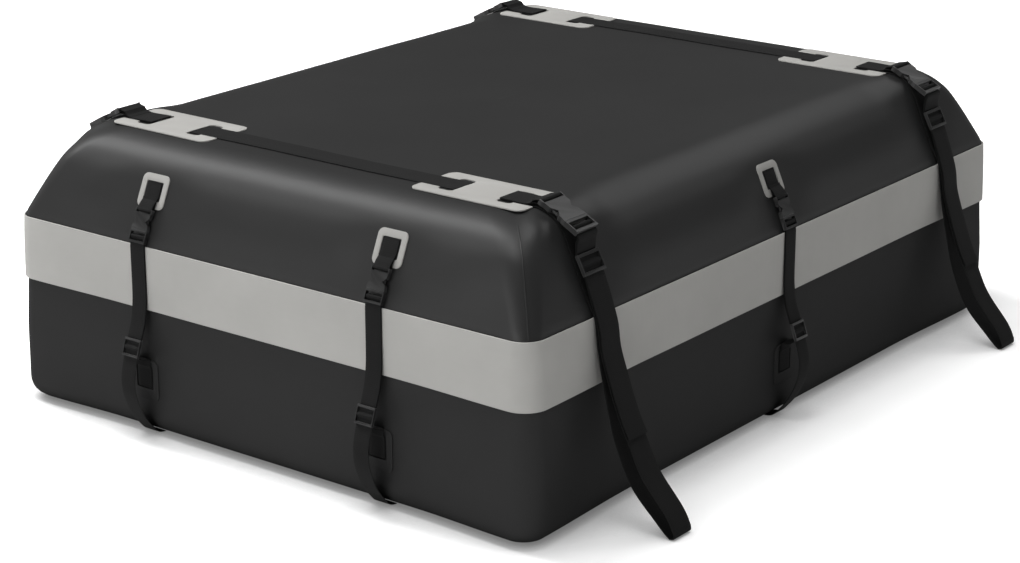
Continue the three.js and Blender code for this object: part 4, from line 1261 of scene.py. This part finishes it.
def web_mesh(path, strap, move, spans=None):
    """Strip of webbing along a path of (out, up) points, with bound edges, and its strap coordinates.
    Spans are the first and last stations to make, on a path that is clean already."""
    path = path if spans else clean_path(path)
    rings, coordinates = [], []
    run = 0.0
    for i, point in enumerate(path):
        before, after = path[max(i - 1, 0)], path[min(i + 1, len(path) - 1)]
        steps = [step for step in (point - before, after - point) if step.length > 1e-9]
        normals = [V2(-s.y, s.x).normalized() for s in steps]
        mitre = sum(normals, V2(0, 0)).normalized()
        reach = 1 / max(mitre.dot(normals[0]), 0.5)
        if i:
            run += (point - path[i - 1]).length
        ring = [(across * strap["web"] / 2, point + mitre * (level * strap["sheet"] / 2 * reach))
                for across, level in WEB_SECTION]
        rings.append([move(Vector((across, *p))) for across, p in ring])
        coordinates.append([(run, across) for across, _ in ring])
    points, faces, strips = [], [], []
    for first, last in spans or [(0, len(path) - 1)]:
        strip = tube_faces(last - first + 1, len(WEB_SECTION))
        faces += [tuple(k + len(points) for k in face) for face in strip]
        points += sum(rings[first:last + 1], [])
        strips += sum(coordinates[first:last + 1], [])
    return points, faces, strips


def add_web(name, path, strap, move, spans=None, **place):
    """Makes webbing along a path, or the spans of it, as one piece."""
    points, faces, run = web_mesh(path, strap, move, spans)
    add_piece(name, points, faces, "webbing", strap=run, **place)


def add_moved_webs(kind, name, way, strap, matrix, move):
    """Makes the pieces of a strap's web next to a plug or a slider. Each piece is handed the two points of
    the side's middle plane between which it would bend from the bag to its body, and is baked where it is
    made."""
    path, spans, bends = way
    for part, (body, *ends) in bends.items():
        ends = [matrix @ Vector((0, *end)) * MM for end in ends]
        add_web(f"{kind}_web_{name}_{part}", path, strap, move, spans[part],
                body=f"{kind}_{body}_{name}", replaces=[f"{kind}_web_{name}"], blend=ends)


class CargoBagShortStraps(Operator):
    """Makes the webs of the six short straps and the short webs sewn to the lid"""

    bl_idname = "cargo_bag.short_straps"
    bl_label = "Short straps"

    def execute(self, context):
        layout = Layout()
        strap = layout.short
        way = short_strap_path(layout)
        bottom = layout.lid_patch_rise + LID_BORDER
        top = bottom + LID_WINDOW[1]
        level = 2 * GAP + layout.patch_sheet + strap["sheet"] / 2
        flat = strap["sheet"] / 2 + 0.05
        start = [V2(top - END_ROOM, flat), V2(bottom + 12, flat), V2(bottom + 5, flat)]
        bar = V2(layout.short_rise, SHORT_BUCKLE[1]) + bar_place(strap)
        sewn = socket_web(layout.slope, strap, bar, start, bottom + strap["sheet"], level)
        for name, matrix in layout.short_sets():

            def move(point):
                return matrix @ point

            add_moved_webs("strap", name, way, strap, matrix, move)
            add_web(f"sewn_web_{name}", sewn, strap, move)
        return {"FINISHED"}


class CargoBagLongStraps(Operator):
    """Makes the webs of the four long straps and the cross webs on top of the lid"""

    bl_idname = "cargo_bag.long_straps"
    bl_label = "Long straps"

    def execute(self, context):
        layout = Layout()
        strap = layout.long
        way = long_strap_path(layout)
        path, spans, _ = way
        place = layout.long_buckle.at(*bar_place(strap))
        level = GAP + strap["sheet"] * 1.45 + 0.1
        start = [V2(TOP_WEB_END, level), V2(TOP_WEB_END - 14, level)]
        bar = V2(-place.x, place.y - layout.height)
        sewn = socket_web(layout.top, strap, bar, start, TOP_PATCH_IN + TOP_NECK / 3, level)
        for name, matrix, back in layout.long_sets():

            def move(point):
                share = max(0.0, layout.flap_top - point.z) / layout.flap_top
                return matrix @ (point + Vector((back * LOOP_DRIFT * share * share, 0, 0)))

            add_web(f"loop_web_{name}_woven", path, strap, move, spans["woven"],
                    replaces=[f"loop_web_{name}"])
            add_moved_webs("loop", name, way, strap, matrix, move)
            add_web(f"loop_sewn_web_{name}", sewn, strap, move)
        add_cross_webs(layout)
        return {"FINISHED"}


def add_cross_webs(layout):
    """Makes the two webs that lie across the lid between the top patches."""
    reach = layout.width / 2 - TOP_PATCH_IN - TOP_PATCH[0] + TOP_NECK + TOP_HEAD[0] - END_ROOM
    level = layout.height + GAP + layout.long["sheet"] / 2
    path = [V2(-reach + 2 * reach * i / 60, level) for i in range(61)]
    for name, row in (("front", -layout.long_row), ("back", layout.long_row)):

        def move(point):
            place = Vector((-point.y, row + point.x, point.z))
            return place - Vector((0, 0, lid_slack(layout, Vector((place.x, place.y, layout.height)))))

        add_web(f"top_web_{name}_woven", path, layout.long, move, replaces=[f"top_web_{name}"])


EDGE_RADIUS = 0.55  # of the moulded pieces
CORNER_GAP = 0.02  # within which a CAD mesh's corners are one


class CargoBagHardware(Operator):
    """Gives the buckles, sliders and the zip their materials and moulded edges"""

    bl_idname = "cargo_bag.hardware"
    bl_label = "Buckles and zip"

    def execute(self, context):
        made = finishes()
        slots = {"zip_chain": "zip_tape", "zip_slider": "zip_metal", "zip_tab": "zip_metal"}
        for name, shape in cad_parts.items():
            if shape.hide_render:
                continue
            slot = next((s for start, s in slots.items() if name.startswith(start)), "buckle_plastic")
            for k in range(len(shape.material_slots)):
                shape.material_slots[k].material = made[slot]
            if slot == "buckle_plastic":
                weld = shape.modifiers.new("join_corners", "WELD")
                weld.merge_threshold = CORNER_GAP * MM
                edges = shape.modifiers.new("moulded_edges", "BEVEL")
                edges.width, edges.segments = EDGE_RADIUS * MM, 2
                edges.limit_method, edges.angle_limit = "ANGLE", math.radians(40)
        return {"FINISHED"}


class CargoBagPanel(Panel):
    """Lists the bag's sizes, colours and building steps"""

    bl_idname = "VIEW3D_PT_cargo_bag"
    bl_label = "Cargo Bag"
    bl_space_type = "VIEW_3D"
    bl_region_type = "UI"
    bl_category = "Cargo Bag"

    def draw(self, context):
        column = self.layout.column()
        for group in (context.scene.cargo_bag_sizes, context.scene.cargo_bag_colours):
            for name in group.__annotations__:
                column.prop(group, name)
        for step in STEPS:
            column.operator(step.bl_idname)


STEPS = (
    CargoBagStage, CargoBagTub, CargoBagLid, CargoBagFlap, CargoBagPatches, CargoBagShortStraps,
    CargoBagLongStraps, CargoBagHardware,
)
CLASSES = (CargoBagSizes, CargoBagColours, *STEPS, CargoBagPanel)


def register():
    """Registers the classes and the two groups of settings."""
    for made in CLASSES:
        bpy.utils.register_class(made)
    bpy.types.Scene.cargo_bag_sizes = PointerProperty(type=CargoBagSizes)
    bpy.types.Scene.cargo_bag_colours = PointerProperty(type=CargoBagColours)


def unregister():
    """Takes back what register() did."""
    del bpy.types.Scene.cargo_bag_colours
    del bpy.types.Scene.cargo_bag_sizes
    for made in reversed(CLASSES):
        bpy.utils.unregister_class(made)


def main():
    """Registers the add-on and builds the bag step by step."""
    register()
    for step in STEPS:
        group, name = step.bl_idname.split(".")
        getattr(getattr(bpy.ops, group), name)()


if __name__ == "__main__":
    main()
